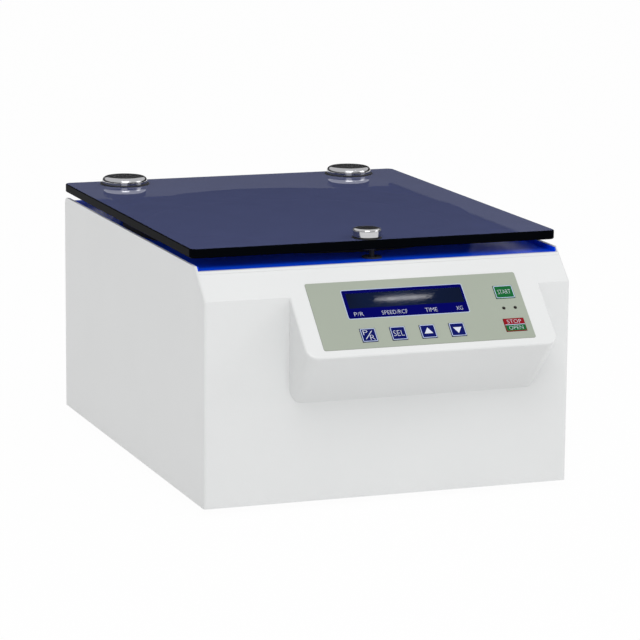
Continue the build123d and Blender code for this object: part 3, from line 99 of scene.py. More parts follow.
class NodeTree:
    """Short ways to add and join shader nodes."""

    def __init__(self, tree: bpy.types.NodeTree) -> None:
        """Takes hold of the nodes of a material or a world."""
        self.nodes = tree.nodes
        self.links = tree.links

    @property
    def shader(self) -> bpy.types.Node:
        """Returns the surface shader that a new material comes with."""
        return self.nodes["Principled BSDF"]

    def link(self, source: Socket, target: Socket) -> None:
        """Joins two sockets."""
        self.links.new(source, target)

    def add(
        self,
        kind: str,
        values: dict[str | int, float | tuple[float, ...]],
        sources: dict[str | int, Socket],
    ) -> bpy.types.Node:
        """Adds a node, with some of its inputs set and others linked.

        Args:
            kind: the node's type.
            values: what inputs are set to, by their name or number.
            sources: what is linked to inputs, by their name or number.

        Returns:
            The node.
        """
        node = self.nodes.new(kind)
        for key, value in values.items():
            node.inputs[key].default_value = value
        for key, source in sources.items():
            self.link(source, node.inputs[key])
        return node

    def object_place(self) -> Socket:
        """Returns the Object coordinates."""
        return self.nodes.new("ShaderNodeTexCoord").outputs["Object"]

    def stretched(self, place: Socket, scale: tuple[float, ...]) -> Socket:
        """Returns coordinates multiplied by a scale along each axis."""
        node = self.add("ShaderNodeMapping", {"Scale": scale}, {"Vector": place})
        return node.outputs["Vector"]

    def noise(self, place: Socket, scale: float, detail: float) -> Socket:
        """Adds a noise pattern.

        Args:
            place: the coordinates it is read at.
            scale: its scale.
            detail: how many finer layers it has.

        Returns:
            The pattern's value, from 0 to 1.
        """
        values = {"Scale": scale, "Detail": detail}
        return self.add("ShaderNodeTexNoise", values, {"Vector": place}).outputs["Fac"]

    def cells(self, place: Socket, scale: float) -> Socket:
        """Adds square-cornered cells, like tracks on a circuit board.

        Args:
            place: the coordinates they are read at.
            scale: cells to the metre.

        Returns:
            The pattern's value.
        """
        node = self.add("ShaderNodeTexVoronoi", {"Scale": scale}, {"Vector": place})
        node.distance = "MANHATTAN"
        return node.outputs["Distance"]

    def ramp(self, source: Socket, low: Colour, high: Colour) -> Socket:
        """Turns a value into a colour between two, which meet in the middle of its range.

        Args:
            source: the value.
            low: the colour of low values.
            high: the colour of high values.

        Returns:
            The colour.
        """
        node = self.add("ShaderNodeValToRGB", {}, {"Fac": source})
        for stop, place, colour in zip(node.color_ramp.elements, RAMP_STOPS, (low, high)):
            stop.position = place
            stop.color = (*colour, 1.0)
        return node.outputs["Color"]

    def span(self, source: Socket, low: float, high: float) -> Socket:
        """Takes a value from 0..1 to low..high.

        Args:
            source: the value.
            low: what 0 becomes.
            high: what 1 becomes.

        Returns:
            The new value.
        """
        values = {"To Min": low, "To Max": high}
        return self.add("ShaderNodeMapRange", values, {"Value": source}).outputs["Result"]

    def bump(self, height: Socket, strength: float, distance: float) -> Socket:
        """Makes a bumped normal.

        Args:
            height: the pattern that stands for height.
            strength: how strong the bump is.
            distance: its depth in metres.

        Returns:
            The normal.
        """
        values = {"Strength": strength, "Distance": distance}
        return self.add("ShaderNodeBump", values, {"Height": height}).outputs["Normal"]

    def mixed(self, share: Socket, first: Socket, second: Socket) -> Socket:
        """Mixes two shaders.

        Args:
            share: how much of the second there is.
            first: the shader at 0.
            second: the shader at 1.

        Returns:
            The mixed shader.
        """
        sources = {"Fac": share, 1: first, 2: second}
        return self.add("ShaderNodeMixShader", {}, sources).outputs[0]

    def seen_directly(self) -> Socket:
        """Tells rays that see a thing directly from those that only bring its light.

        Returns:
            A value that is 1 for camera, glossy and transmission rays.
        """
        path = self.nodes.new("ShaderNodeLightPath")
        total = path.outputs["Is Camera Ray"]
        for ray in ("Is Glossy Ray", "Is Transmission Ray"):
            either = self.add("ShaderNodeMath", {}, {0: total, 1: path.outputs[ray]})
            either.operation = "MAXIMUM"
            total = either.outputs[0]
        return total


def shared_material(name: str, build: Callable[[NodeTree], None]) -> bpy.types.Material:
    """Returns the material of a name, whose nodes are built when it is first asked for.

    Args:
        name: the material's name.
        build: sets up its nodes.

    Returns:
        The material.
    """
    made = bpy.data.materials.get(name)
    if made is None:
        made = bpy.data.materials.new(name)
        made.use_nodes = True
        build(NodeTree(made.node_tree))
    return made


@dataclass(frozen=True)
class Finish:
    """A surface finish with its colour, gloss and fine pattern.

    The grain's size is in metres. Brush strokes run along the axis, and are as many times longer
    than wide as the stroke says. The patches are the broad mottles, as many to the metre. The
    roughness varies by a share of itself and a little more.
    """

    name: str
    colour: Colour
    grain: Grain
    metallic: float = 0.0
    roughness: float = 0.4
    coat: float = 0.0
    grain_size: float = 0.0006
    relief: float = 0.08
    mottle: float = 0.03
    specular: float = 0.5
    axis: int = 0
    stroke: float = 60.0
    patches: float = 9.0
    patch_detail: float = 3.0
    coat_roughness: float = 0.08
    spread_share: float = 0.12
    least_spread: float = 0.01

    def material(self) -> bpy.types.Material:
        """Returns the material of this finish."""
        return shared_material(self.name, self._build)

    def _build(self, tree: NodeTree) -> None:
        """Sets up the material's nodes.

        Args:
            tree: the material's node tree.
        """
        inputs = tree.shader.inputs
        inputs["Metallic"].default_value = self.metallic
        inputs["Coat Weight"].default_value = self.coat
        inputs["Coat Roughness"].default_value = self.coat_roughness
        inputs["Specular IOR Level"].default_value = self.specular
        fine = self._fine_pattern(tree)
        broad = tree.noise(tree.object_place(), self.patches, self.patch_detail)
        darker = tuple(c * (1 - self.mottle) for c in self.colour)
        lighter = tuple(min(1.0, c * (1 + self.mottle)) for c in self.colour)
        tree.link(tree.ramp(broad, darker, lighter), inputs["Base Color"])
        spread = self.spread_share * self.roughness + self.least_spread
        gloss = tree.span(fine, self.roughness - spread, self.roughness + spread)
        tree.link(gloss, inputs["Roughness"])
        tree.link(tree.bump(fine, self.relief, self.grain_size), inputs["Normal"])

    def _fine_pattern(self, tree: NodeTree) -> Socket:
        """Makes the fine pattern of this finish.

        Args:
            tree: the material's node tree.

        Returns:
            The pattern's value, from 0 to 1.
        """
        place = tree.object_place()
        scale = 1.0 / self.grain_size
        if self.grain is Grain.BRUSHED:
            stretch = [scale] * 3
            stretch[self.axis] = scale / self.stroke
            return tree.noise(tree.stretched(place, tuple(stretch)), scale=1.0, detail=2.0)
        if self.grain is Grain.CIRCUIT:
            return tree.cells(place, scale)
        detail = 1.0 if self.grain is Grain.PAINTED else 3.0
        return tree.noise(place, scale=scale, detail=detail)


@dataclass(frozen=True)
class Tint:
    """Tinted clear sheet as it looks from outside: its inner sides show nothing.

    The film is the faint cloudiness of the sheet: its patches to the metre, how much darker they
    are, and how much glossier and duller they get.
    """

    name: str
    colour: Colour
    alpha: float
    roughness: float = 0.03
    specular: float = 0.5
    film: float = 35.0
    film_shade: float = 0.94
    film_gloss: tuple[float, float] = (-0.01, 0.02)

    def material(self) -> bpy.types.Material:
        """Returns the material of this tint."""
        return shared_material(self.name, self._build)

    def _build(self, tree: NodeTree) -> None:
        """Sets up the material's nodes.

        Args:
            tree: the material's node tree.
        """
        inputs = tree.shader.inputs
        inputs["Specular IOR Level"].default_value = self.specular
        film = tree.noise(tree.object_place(), scale=self.film, detail=2.0)
        darker = tuple(self.film_shade * c for c in self.colour)
        tree.link(tree.ramp(film, darker, self.colour), inputs["Base Color"])
        glossy, dull = (self.roughness + change for change in self.film_gloss)
        tree.link(tree.span(film, glossy, dull), inputs["Roughness"])
        inside = tree.nodes.new("ShaderNodeNewGeometry").outputs["Backfacing"]
        tree.link(tree.span(inside, self.alpha, 0.0), inputs["Alpha"])


class Bench:
    """Modelling operators, applied to one object at a time."""

    @staticmethod
    def clear() -> None:
        """Leaves edit mode and deselects everything."""
        if bpy.context.object and bpy.context.object.mode != "OBJECT":
            bpy.ops.object.mode_set(mode="OBJECT")
        bpy.ops.object.select_all(action="DESELECT")

    @staticmethod
    def take(piece: Piece) -> None:
        """Makes a piece the only one selected, and active.

        Args:
            piece: the piece.
        """
        Bench.clear()
        piece.select_set(True)
        bpy.context.view_layer.objects.active = piece

    @staticmethod
    def block(name: str, low: Iterable[float], high: Iterable[float]) -> Piece:
        """Adds a block between two corners, as a start for a piece.

        Args:
            name: the piece's name.
            low: its lowest corner.
            high: its highest corner.

        Returns:
            The piece.
        """
        low, high = Vector(low), Vector(high)
        Bench.clear()
        bpy.ops.mesh.primitive_cube_add(size=1.0, location=(low + high) / 2)
        piece = bpy.context.object
        piece.name = name
        piece.scale = high - low
        bpy.ops.object.transform_apply(location=True, rotation=True, scale=True)
        return piece

    @staticmethod
    @contextmanager
    def selected(
        piece: Piece, pick: Pick, test: Callable[[bmesh.types.BMEdge | bmesh.types.BMFace], bool]
    ) -> Iterator[None]:
        """Opens a piece in edit mode with a part of it selected, and leaves edit mode after.

        Args:
            piece: the piece.
            pick: whether edges or faces are selected.
            test: says whether an edge or face is selected.

        Yields:
            Nothing, while the piece is open.
        """
        Bench.take(piece)
        bpy.ops.object.mode_set(mode="EDIT")
        bpy.ops.mesh.select_mode(type=pick.value)
        bpy.ops.mesh.select_all(action="DESELECT")
        mesh = bmesh.from_edit_mesh(piece.data)
        for item in mesh.edges if pick is Pick.EDGE else mesh.faces:
            if test(item):
                item.select_set(True)
        bmesh.update_edit_mesh(piece.data)
        yield
        bpy.ops.object.mode_set(mode="OBJECT")

    @staticmethod
    def round_uprights(piece: Piece, radius: float, segments: int = 5) -> None:
        """Rounds a block's upright edges.

        Args:
            piece: the piece.
            radius: the radius.
            segments: how many segments each rounding has.
        """

        def upright(edge: bmesh.types.BMEdge) -> bool:
            """Says whether an edge runs along Z."""
            along = edge.verts[1].co - edge.verts[0].co
            return abs(along.x) + abs(along.y) < CLOSE

        with Bench.selected(piece, Pick.EDGE, upright):
            bpy.ops.mesh.bevel(offset=radius, offset_type="OFFSET", segments=segments)

    @staticmethod
    def lies_flat(face: bmesh.types.BMFace) -> bool:
        """Says whether a face looks straight up or down."""
        return abs(face.normal.z) > FLAT

    @staticmethod
    def hollow_out(piece: Piece, rim: float) -> None:
        """Turns a plate into a frame, by bridging inset top and bottom faces.

        Args:
            piece: the plate.
            rim: how wide the frame is.
        """
        with Bench.selected(piece, Pick.FACE, Bench.lies_flat):
            bpy.ops.mesh.inset(thickness=rim, use_even_offset=True)
            bpy.ops.mesh.bridge_edge_loops()

    @staticmethod
    def lettering(
        name: str, words: str, foot: Point, size: tuple[float, float], thickness: float
    ) -> Piece:
        """Makes raised lettering of a given width and height in the XY plane.

        Args:
            name: the piece's name.
            words: the words.
            foot: the middle of the lettering's underside.
            size: its width and height.
            thickness: how far it stands up.

        Returns:
            The lettering as a mesh.
        """
        Bench.clear()
        bpy.ops.object.text_add()
        piece = bpy.context.object
        piece.name = name
        piece.data.body = words
        piece.data.resolution_u = LETTER_STEPS
        piece.data.extrude = 0.5
        piece.data.offset = LETTER_THINNING
        bpy.ops.object.convert(target="MESH")
        piece = bpy.context.object
        spots = [v.co for v in piece.data.vertices]
        low = Vector(min(spot[i] for spot in spots) for i in range(3))
        high = Vector(max(spot[i] for spot in spots) for i in range(3))
        reach = high - low
        stretch = Matrix.Diagonal(
            (size[0] / reach.x, size[1] / reach.y, thickness / reach.z, 1.0)
        )
        to_foot = Matrix.Translation((-(low.x + high.x) / 2, -(low.y + high.y) / 2, -low.z))
        piece.data.transform(Matrix.Translation(foot) @ stretch @ to_foot)
        return piece

    @staticmethod
    def repeat(piece: Piece, count: int) -> list[Piece]:
        """Copies a piece, each copy with its own mesh.

        Args:
            piece: the piece.
            count: how many there are in the end.

        Returns:
            The piece and its copies.
        """
        pieces = [piece]
        while len(pieces) < count:
            Bench.take(piece)
            bpy.ops.object.duplicate(linked=False)
            pieces.append(bpy.context.object)
        return pieces

    @staticmethod
    def join(name: str, pieces: list[Piece]) -> Piece:
        """Joins pieces into one.

        Args:
            name: the joined piece's name.
            pieces: what is joined.

        Returns:
            The joined piece.
        """
        Bench.clear()
        for piece in pieces:
            piece.select_set(True)
        bpy.context.view_layer.objects.active = pieces[0]
        bpy.ops.object.join()
        joined = bpy.context.object
        joined.name = name
        return joined

    @staticmethod
    def dress(piece: Piece, finish: Finish | Tint) -> None:
        """Gives a piece one finish all over."""
        piece.data.materials.clear()
        piece.data.materials.append(finish.material())


class Palette:
    """The finishes of the centrifuge."""

    shell = Finish("moulded_white", (0.80, 0.81, 0.81), Grain.MOULDED, roughness=0.32,
                   coat=0.25, grain_size=0.0012, relief=0.05, mottle=0.01)
    deck = Finish("gloss_blue_paint", (0.001, 0.076, 0.90), Grain.PAINTED, roughness=0.2,
                  coat=0.06, grain_size=0.0015, relief=0.05, mottle=0.05, specular=0.12)
    rear = Finish("pale_paint", (0.72, 0.73, 0.73), Grain.PAINTED, roughness=0.4,
                  grain_size=0.0009, relief=0.12, mottle=0.02)
    chrome = Finish("polished_chrome", (0.53, 0.53, 0.55), Grain.PAINTED, metallic=1.0,
                    roughness=0.17, grain_size=0.002, relief=0.01, mottle=0.01)
    grip = Finish("turned_metal", (0.58, 0.58, 0.59), Grain.BRUSHED, metallic=1.0,
                  roughness=0.14, grain_size=0.0004, relief=0.02, mottle=0.03, axis=2)
    steel = Finish("zinc_plated_steel", (0.52, 0.53, 0.55), Grain.BRUSHED, metallic=1.0,
                   roughness=0.34, grain_size=0.0005, relief=0.05, mottle=0.06)
    bowl = Finish("spun_steel", (0.55, 0.56, 0.58), Grain.BRUSHED, metallic=1.0,
                  roughness=0.30, grain_size=0.0006, relief=0.04, mottle=0.04, axis=2)
    rubber = Finish("black_rubber", (0.012, 0.012, 0.013), Grain.RUBBER, roughness=0.62,
                    grain_size=0.0007, relief=0.18, mottle=0.10)
    plastic = Finish("black_plastic", (0.016, 0.016, 0.018), Grain.MOULDED, roughness=0.42,
                     grain_size=0.0008, relief=0.15, mottle=0.06)
    overlay = Finish("printed_overlay", (0.385, 0.425, 0.355), Grain.PRINTED, roughness=0.5,
                     grain_size=0.0005, relief=0.10, mottle=0.02, specular=0.25)
    navy = Finish("navy_print", (0.0010, 0.0014, 0.112), Grain.PRINTED, roughness=0.5,
                  grain_size=0.0006, relief=0.06, mottle=0.03, specular=0.012)
    key_navy = Finish("navy_key_print", (0.002, 0.006, 0.12), Grain.PRINTED, roughness=0.45,
                      grain_size=0.0006, relief=0.06, mottle=0.03, specular=0.05)
    pale_line = Finish("pale_line_print", (0.52, 0.60, 0.82), Grain.PRINTED, roughness=0.5,
                       grain_size=0.0005, relief=0.05, mottle=0.02, specular=0.1)
    legend = Finish("white_print", (0.70, 0.73, 0.82), Grain.PRINTED, roughness=0.5,
                    grain_size=0.0005, relief=0.05, mottle=0.02, specular=0.1)
    green = Finish("green_print", (0.006, 0.13, 0.032), Grain.PRINTED, roughness=0.45,
                   grain_size=0.0006, relief=0.06, mottle=0.04, specular=0.06)
    red = Finish("red_print", (0.27, 0.007, 0.014), Grain.PRINTED, roughness=0.45,
                 grain_size=0.0006, relief=0.06, mottle=0.04, specular=0.06)
    lamp_dark = Finish("lamp_dark", (0.010, 0.005, 0.005), Grain.MOULDED, roughness=0.25,
                       grain_size=0.0008, relief=0.03, mottle=0.05, specular=0.2)
    glass = Finish("display_glass", (0.0016, 0.0062, 0.028), Grain.PAINTED, roughness=0.03,
                   grain_size=0.003, relief=0.0, mottle=0.5, specular=0.05)
    circuit = Finish("circuit_green", (0.012, 0.11, 0.045), Grain.CIRCUIT, roughness=0.35,
                     grain_size=0.003, relief=0.25, mottle=0.15)
    iron = Finish("varnished_iron", (0.10, 0.095, 0.09), Grain.BRUSHED, metallic=0.6,
                  roughness=0.45, grain_size=0.0005, relief=0.25, mottle=0.12, axis=2)
    rotor = Finish("anodised_aluminium", (0.30, 0.31, 0.33), Grain.BRUSHED, metallic=0.9,
                   roughness=0.30, grain_size=0.0005, relief=0.05, mottle=0.04)
    bare = Finish("cast_aluminium", (0.62, 0.63, 0.64), Grain.MOULDED, metallic=1.0,
                  roughness=0.45, grain_size=0.001, relief=0.20, mottle=0.06)
    lid = Tint("tinted_sheet", (0.098, 0.118, 0.268), alpha=0.965)
    lid_edge = Tint("tinted_edge", (0.0015, 0.002, 0.003), alpha=1.0, roughness=0.15,
                    specular=0.004)


@dataclass(frozen=True)
class Assembly:
    """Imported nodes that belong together, each with its finish."""

    title: str
    finishes: dict[str, Finish | Tint]

    def dress(self, nodes: dict[str, Piece]) -> None:
        """Gives each node of the assembly its finish.

        Args:
            nodes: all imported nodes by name.
        """
        for name, finish in self.finishes.items():
            Bench.dress(nodes[name], finish)
            log.info("%s: %s wears %s", self.title, name, finish.name)


@dataclass(frozen=True)
class TintedLid(Assembly):
    """The lid with its caps, grip and striker. The sheet's edges are darker than its faces."""

    plate: str = "lid_plate"
    edge: Tint = Palette.lid_edge
    edge_slope: float = 0.9

    def dress(self, nodes: dict[str, Piece]) -> None:
        """Gives each node its finish, and the sheet's edges their own.

        Args:
            nodes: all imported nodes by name.
        """
        super().dress(nodes)
        sheet = nodes[self.plate].data
        sheet.materials.append(self.edge.material())
        for face in sheet.polygons:
            face.material_index = int(abs(face.normal.z) < self.edge_slope)
        log.info("%s: edges of %s wear %s", self.title, self.plate, self.edge.name)


ASSEMBLIES = (
    Assembly("cabinet", {
        "housing_shell": Palette.shell, "deck_pan": Palette.deck, "base_plate": Palette.steel,
        "rear_panel": Palette.rear, "rear_screws": Palette.steel, "feet": Palette.rubber,
        "foot_screws": Palette.steel,
    }),
    Assembly("hinges", {
        "hinge_rail": Palette.steel, "hinge_brackets": Palette.steel,
        "hinge_pins": Palette.steel, "hinge_arms": Palette.chrome,
        "hinge_gaskets": Palette.rubber, "hinge_screws": Palette.steel,
    }),
    TintedLid("lid", {
        "lid_plate": Palette.lid, "hinge_caps": Palette.chrome, "lid_knob": Palette.grip,
        "knob_washer": Palette.rubber, "striker_plate": Palette.plastic,
        "striker": Palette.plastic,
    }),
    Assembly("lock", {
        "striker_bezel": Palette.plastic, "latch_channel": Palette.steel,
        "lock_solenoid": Palette.iron, "lock_fork": Palette.steel,
        "lid_switch": Palette.plastic,
    }),
    Assembly("chamber", {
        "bowl": Palette.bowl, "bowl_seal": Palette.rubber, "spindle_boot": Palette.rubber,
        "rotor": Palette.rotor, "rotor_nut": Palette.bare,
    }),
    Assembly("motor", {
        "motor_mounts": Palette.rubber, "motor_plate": Palette.steel,
        "motor_housing": Palette.bare, "motor_cap": Palette.bare,
        "spindle_bearings": Palette.steel, "speed_sensor": Palette.plastic,
        "spindle": Palette.steel,
    }),
    Assembly("control panel", {
        "panel_overlay": Palette.overlay, "display_window": Palette.glass,
        "display_module": Palette.circuit, "key_board": Palette.circuit,
        "indicator_leds": Palette.lamp_dark, "key_program": Palette.key_navy,
        "key_select": Palette.key_navy, "key_up": Palette.key_navy,
        "key_down": Palette.key_navy, "key_start": Palette.green,
        "key_stop_open": Palette.red,
    }),
    Assembly("electrics", {
        "board_pillars": Palette.steel, "control_board": Palette.circuit,
        "drive_board": Palette.circuit, "transformer": Palette.iron,
        "heat_sink": Palette.bare, "power_inlet": Palette.plastic,
        "fuse_holder": Palette.plastic, "switch_frame": Palette.plastic,
        "power_rocker": Palette.plastic,
    }),
    Assembly("fan", {
        "fan_frame": Palette.plastic, "fan_rotor": Palette.plastic,
        "fan_guard": Palette.steel, "fan_screws": Palette.steel,
    }),
)


@dataclass(frozen=True)
class Area:
    """A rectangle in the panel's plane, by its middle and its size in millimetres."""

    across: float
    up: float
    width: float
    height: float

    def grown(self, edge: float) -> Area:
        """Returns the area with an edge added all round, or taken off."""
        return replace(self, width=self.width + 2 * edge, height=self.height + 2 * edge)


@dataclass
class ControlPanel:
    """Print on the console's overlay and on its keys, in millimetres in the overlay's plane.

    Print is sunk a little into what it lies on. White print is as thick as the print thickness,
    and the lines and fields under it are half as thick.
    """

    lean: float = 46.5
    lift: float = 0.1
    overlay_top: float = 0.3
    key_top: float = 0.9
    print_thickness: float = 0.12
    sink: float = 0.04
    surround: Area = Area(-12.7, 12.1, 125.0, 33.2)
    surround_corner: float = 1.6
    window: Area = Area(-12.0, 16.2, 119.5, 17.8)
    outline: float = 0.7
    outline_corner: float = 2.2
    captions: tuple[tuple[str, Area], ...] = (
        ("P/R", Area(-64.0, 0.5, 9.5, 4.5)),
        ("SPEED/RCF", Area(-27.0, 0.5, 26.5, 4.5)),
        ("TIME", Area(11.0, 0.5, 12.5, 4.5)),
        ("XG", Area(40.5, 0.5, 6.5, 4.5)),
    )
    square_keys: dict[str, Area] = field(default_factory=lambda: {
        "key_program": Area(-60.6, -24.8, 15.6, 15.6),
        "key_select": Area(-30.0, -24.8, 15.6, 15.6),
        "key_up": Area(0.6, -24.8, 15.6, 15.6),
        "key_down": Area(31.2, -24.8, 15.6, 15.6),
    })
    start_key: Area = Area(92.0, 16.1, 20.0, 15.2)
    stop_open_key: Area = Area(92.0, -23.4, 21.6, 15.2)
    key_edge: float = 0.3
    key_corner: float = 1.2
    select_words: tuple[float, float] = (11.0, 6.4)
    start_words: tuple[float, float] = (13.6, 5.0)
    letter_shift: float = 3.0
    letter_widths: tuple[float, float] = (4.6, 4.8)
    letter_height: float = 5.6
    stroke_width: float = 0.7
    stroke_length: float = 12.0
    stroke_turn: float = -40.0
    arrow_width: float = 8.8
    arrow_height: float = 7.0
    arrow_shift: float = 0.9167
    field_edge: float = 0.5
    field_corner: float = 0.8
    split_width: float = 0.7
    split_corner: float = 0.1
    field_words: tuple[float, float] = (0.72, 0.62)
    matrix: Matrix = field(default_factory=Matrix)

    def build(self) -> None:
        """Builds and places all print of the panel."""
        low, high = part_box("panel_overlay")
        lean = math.radians(self.lean)
        out = Vector((0.0, -math.cos(lean), math.sin(lean)))
        up = Vector((0.0, math.sin(lean), math.cos(lean)))
        origin = (low + high) / 2 + out * (self.lift * MM)
        turn = Matrix((Vector((1.0, 0.0, 0.0)), up, out)).transposed().to_4x4()
        self.matrix = Matrix.Translation(origin) @ turn @ Matrix.Scale(MM, 4)
        self._display()
        self._captions()
        self._key_outlines()
        self._program_legend()
        self._key_words("key_select", "SEL", self.square_keys["key_select"], self.select_words)
        self._key_arrow("key_up", Side.UP)
        self._key_arrow("key_down", Side.DOWN)
        self._key_words("key_start", "START", self.start_key, self.start_words)
        self._stop_open()

    @property
    def _white_depth(self) -> float:
        """Returns how deep white print is, with what is sunk."""
        return self.sink + self.print_thickness

    @property
    def _line_depth(self) -> float:
        """Returns how deep a line or a field is, with what is sunk."""
        return self.sink + self.print_thickness / 2

    def _place(self, piece: Piece, body: str, finish: Finish) -> None:
        """Moves a piece from panel millimetres to its place, dresses it and lets it ride.

        Args:
            piece: the piece.
            body: the body that it rides on.
            finish: its finish.
        """
        piece.data.transform(self.matrix)
        Bench.dress(piece, finish)
        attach(piece, body)
        log.info("control panel: %s rides on %s", piece.name, body)

    def _plate(self, name: str, area: Area, top: float, depth: float, corner: float) -> Piece:
        """Makes a thin rounded plate of print.

        Args:
            name: its name.
            area: what it covers.
            top: the height of what it is printed on.
            depth: its depth, with what is sunk.
            corner: the radius of its corners.

        Returns:
            The plate.
        """
        half = Vector((area.width / 2, area.height / 2, 0.0))
        middle = Vector((area.across, area.up, top - self.sink))
        plate = Bench.block(name, middle - half, middle + half + Vector((0.0, 0.0, depth)))
        Bench.round_uprights(plate, corner)
        return plate

    def _words(self, name: str, words: str, area: Area, top: float) -> Piece:
        """Makes white words that fill an area.

        Args:
            name: the piece's name.
            words: the words.
            area: what they cover.
            top: the height of what they are printed on.

        Returns:
            The words.
        """
        foot = (area.across, area.up, top - self.sink)
        return Bench.lettering(name, words, foot, (area.width, area.height), self._white_depth)

    def _display(self) -> None:
        """Makes the dark surround of the display window and the pale line round it."""
        line = self._plate("display_outline", self.surround.grown(self.outline),
                           self.overlay_top, self._line_depth, self.outline_corner)
        Bench.hollow_out(line, self.outline)
        self._place(line, "housing", Palette.pale_line)
        surround = self._plate("display_surround", self.surround, self.overlay_top,
                               self._white_depth, self.surround_corner)
        self._open_window(surround)
        self._place(surround, "housing", Palette.navy)

    def _open_window(self, surround: Piece) -> None:
        """Cuts the window's opening, by four bisecting planes and a bridge between the faces.

        Args:
            surround: the plate round the window.
        """
        middle = (self.window.across, self.window.up)
        half = (self.window.width / 2, self.window.height / 2)
        for axis in (0, 1):
            for side in (-1, 1):
                cut, along = Vector((0.0, 0.0, 0.0)), Vector((0.0, 0.0, 0.0))
                cut[axis] = middle[axis] + side * half[axis]
                along[axis] = 1.0
                with Bench.selected(surround, Pick.FACE, lambda f: True):
                    bpy.ops.mesh.bisect(plane_co=cut, plane_no=along)

        def over_window(face: bmesh.types.BMFace) -> bool:
            """Says whether a face lies over the window.

            Args:
                face: a face of the surround.

            Returns:
                Whether it lies flat, with its middle inside the window.
            """
            spot = face.calc_center_median()
            return Bench.lies_flat(face) and all(
                abs(spot[axis] - middle[axis]) < half[axis] for axis in (0, 1)
            )

        with Bench.selected(surround, Pick.FACE, over_window):
            bpy.ops.mesh.bridge_edge_loops()

    def _captions(self) -> None:
        """Makes the captions under the display, which lie on its surround."""
        top = self.overlay_top + self.print_thickness
        for number, (words, area) in enumerate(self.captions, start=1):
            caption = self._words(f"caption_{number}", words, area, top)
            self._place(caption, "housing", Palette.legend)

    def _key_outlines(self) -> None:
        """Makes the pale outline on the keys: one for the square keys and its copies, one more."""
        for keys in (self.square_keys, {"key_start": self.start_key}):
            shape = replace(next(iter(keys.values())), across=0.0, up=0.0)
            line = self._plate("key_outline", shape.grown(-self.key_edge), self.key_top,
                               self._line_depth, self.key_corner)
            Bench.hollow_out(line, self.outline)
            for copy, (key, area) in zip(Bench.repeat(line, len(keys)), keys.items()):
                copy.name = f"{key}_outline"
                copy.data.transform(Matrix.Translation((area.across, area.up, 0.0)))
                self._place(copy, key, Palette.pale_line)

    def _key_words(self, key: str, words: str, area: Area, size: tuple[float, float]) -> None:
        """Prints words in the middle of a key.

        Args:
            key: the key's name, which is its body's too.
            words: the words.
            area: the key's face.
            size: the words' width and height.
        """
        area = replace(area, width=size[0], height=size[1])
        self._place(self._words(f"{key}_legend", words, area, self.key_top), key, Palette.legend)

    def _program_legend(self) -> None:
        """Prints two letters and the slanted stroke between them on the first key."""
        key = "key_program"
        face = self.square_keys[key]
        parts = []
        for letter, side, width in zip("PR", (-1, 1), self.letter_widths):
            shift = side * self.letter_shift
            area = Area(face.across + shift, face.up - shift, width, self.letter_height)
            parts.append(self._words("letter", letter, area, self.key_top))
        reach = Vector((self.stroke_width / 2, self.stroke_length / 2, 0.0))
        stroke = Bench.block("stroke", -reach, reach + Vector((0.0, 0.0, self._white_depth)))
        stroke.data.transform(
            Matrix.Translation((face.across, face.up, self.key_top - self.sink))
            @ Matrix.Rotation(math.radians(self.stroke_turn), 4, "Z")
        )
        self._place(Bench.join(f"{key}_legend", [*parts, stroke]), key, Palette.legend)

    def _key_arrow(self, key: str, side: Side) -> None:
        """Prints an arrow head on a key, a block whose edges at the tip are collapsed.

        Args:
            key: the key's name, which is its body's too.
            side: which way the arrow points.
        """
        face = self.square_keys[key]
        middle = Vector((face.across, face.up + side.value * self.arrow_shift, 0.0))
        reach = Vector((self.arrow_width / 2, self.arrow_height / 2, 0.0))
        foot = Vector((0.0, 0.0, self.key_top - self.sink))
        top = foot + Vector((0.0, 0.0, self._white_depth))
        arrow = Bench.block(f"{key}_legend", middle - reach + foot, middle + reach + top)
        tip = middle.y + side.value * reach.y

        def at_tip(edge: bmesh.types.BMEdge) -> bool:
            """Says whether an edge runs across the arrow at its tip.

            Args:
                edge: an edge of the block.

            Returns:
                Whether it is level, with both its ends at the tip.
            """
            first, second = (v.co for v in edge.verts)
            level = abs(first.z - second.z) < CLOSE
            return level and all(abs(spot.y - tip) < CLOSE for spot in (first, second))

        with Bench.selected(arrow, Pick.EDGE, at_tip):
            bpy.ops.mesh.merge(type="COLLAPSE")
        self._place(arrow, key, Palette.legend)

    def _stop_open(self) -> None:
        """Prints the key with two fields: words on red above, words on green below."""
        key = "key_stop_open"
        face = self.stop_open_key.grown(-self.field_edge)
        shift = (face.height + self.split_width) / 4
        height = (face.height - self.split_width) / 2
        upper = replace(face, up=face.up + shift, height=height)
        lower = replace(face, up=face.up - shift, height=height)
        split = replace(face, height=self.split_width)
        plates = (
            ("lower", lower, self.field_corner, Palette.green),
            ("split", split, self.split_corner, Palette.pale_line),
        )
        for name, area, corner, finish in plates:
            plate = self._plate(f"{key}_{name}", area, self.key_top, self._line_depth, corner)
            self._place(plate, key, finish)
        across, up = self.field_words
        for words, area in (("STOP", upper), ("OPEN", lower)):
            area = replace(area, width=area.width * across, height=area.height * up)
            legend = self._words(f"{key}_{words.lower()}", words, area, self.key_top)
            self._place(legend, key, Palette.legend)


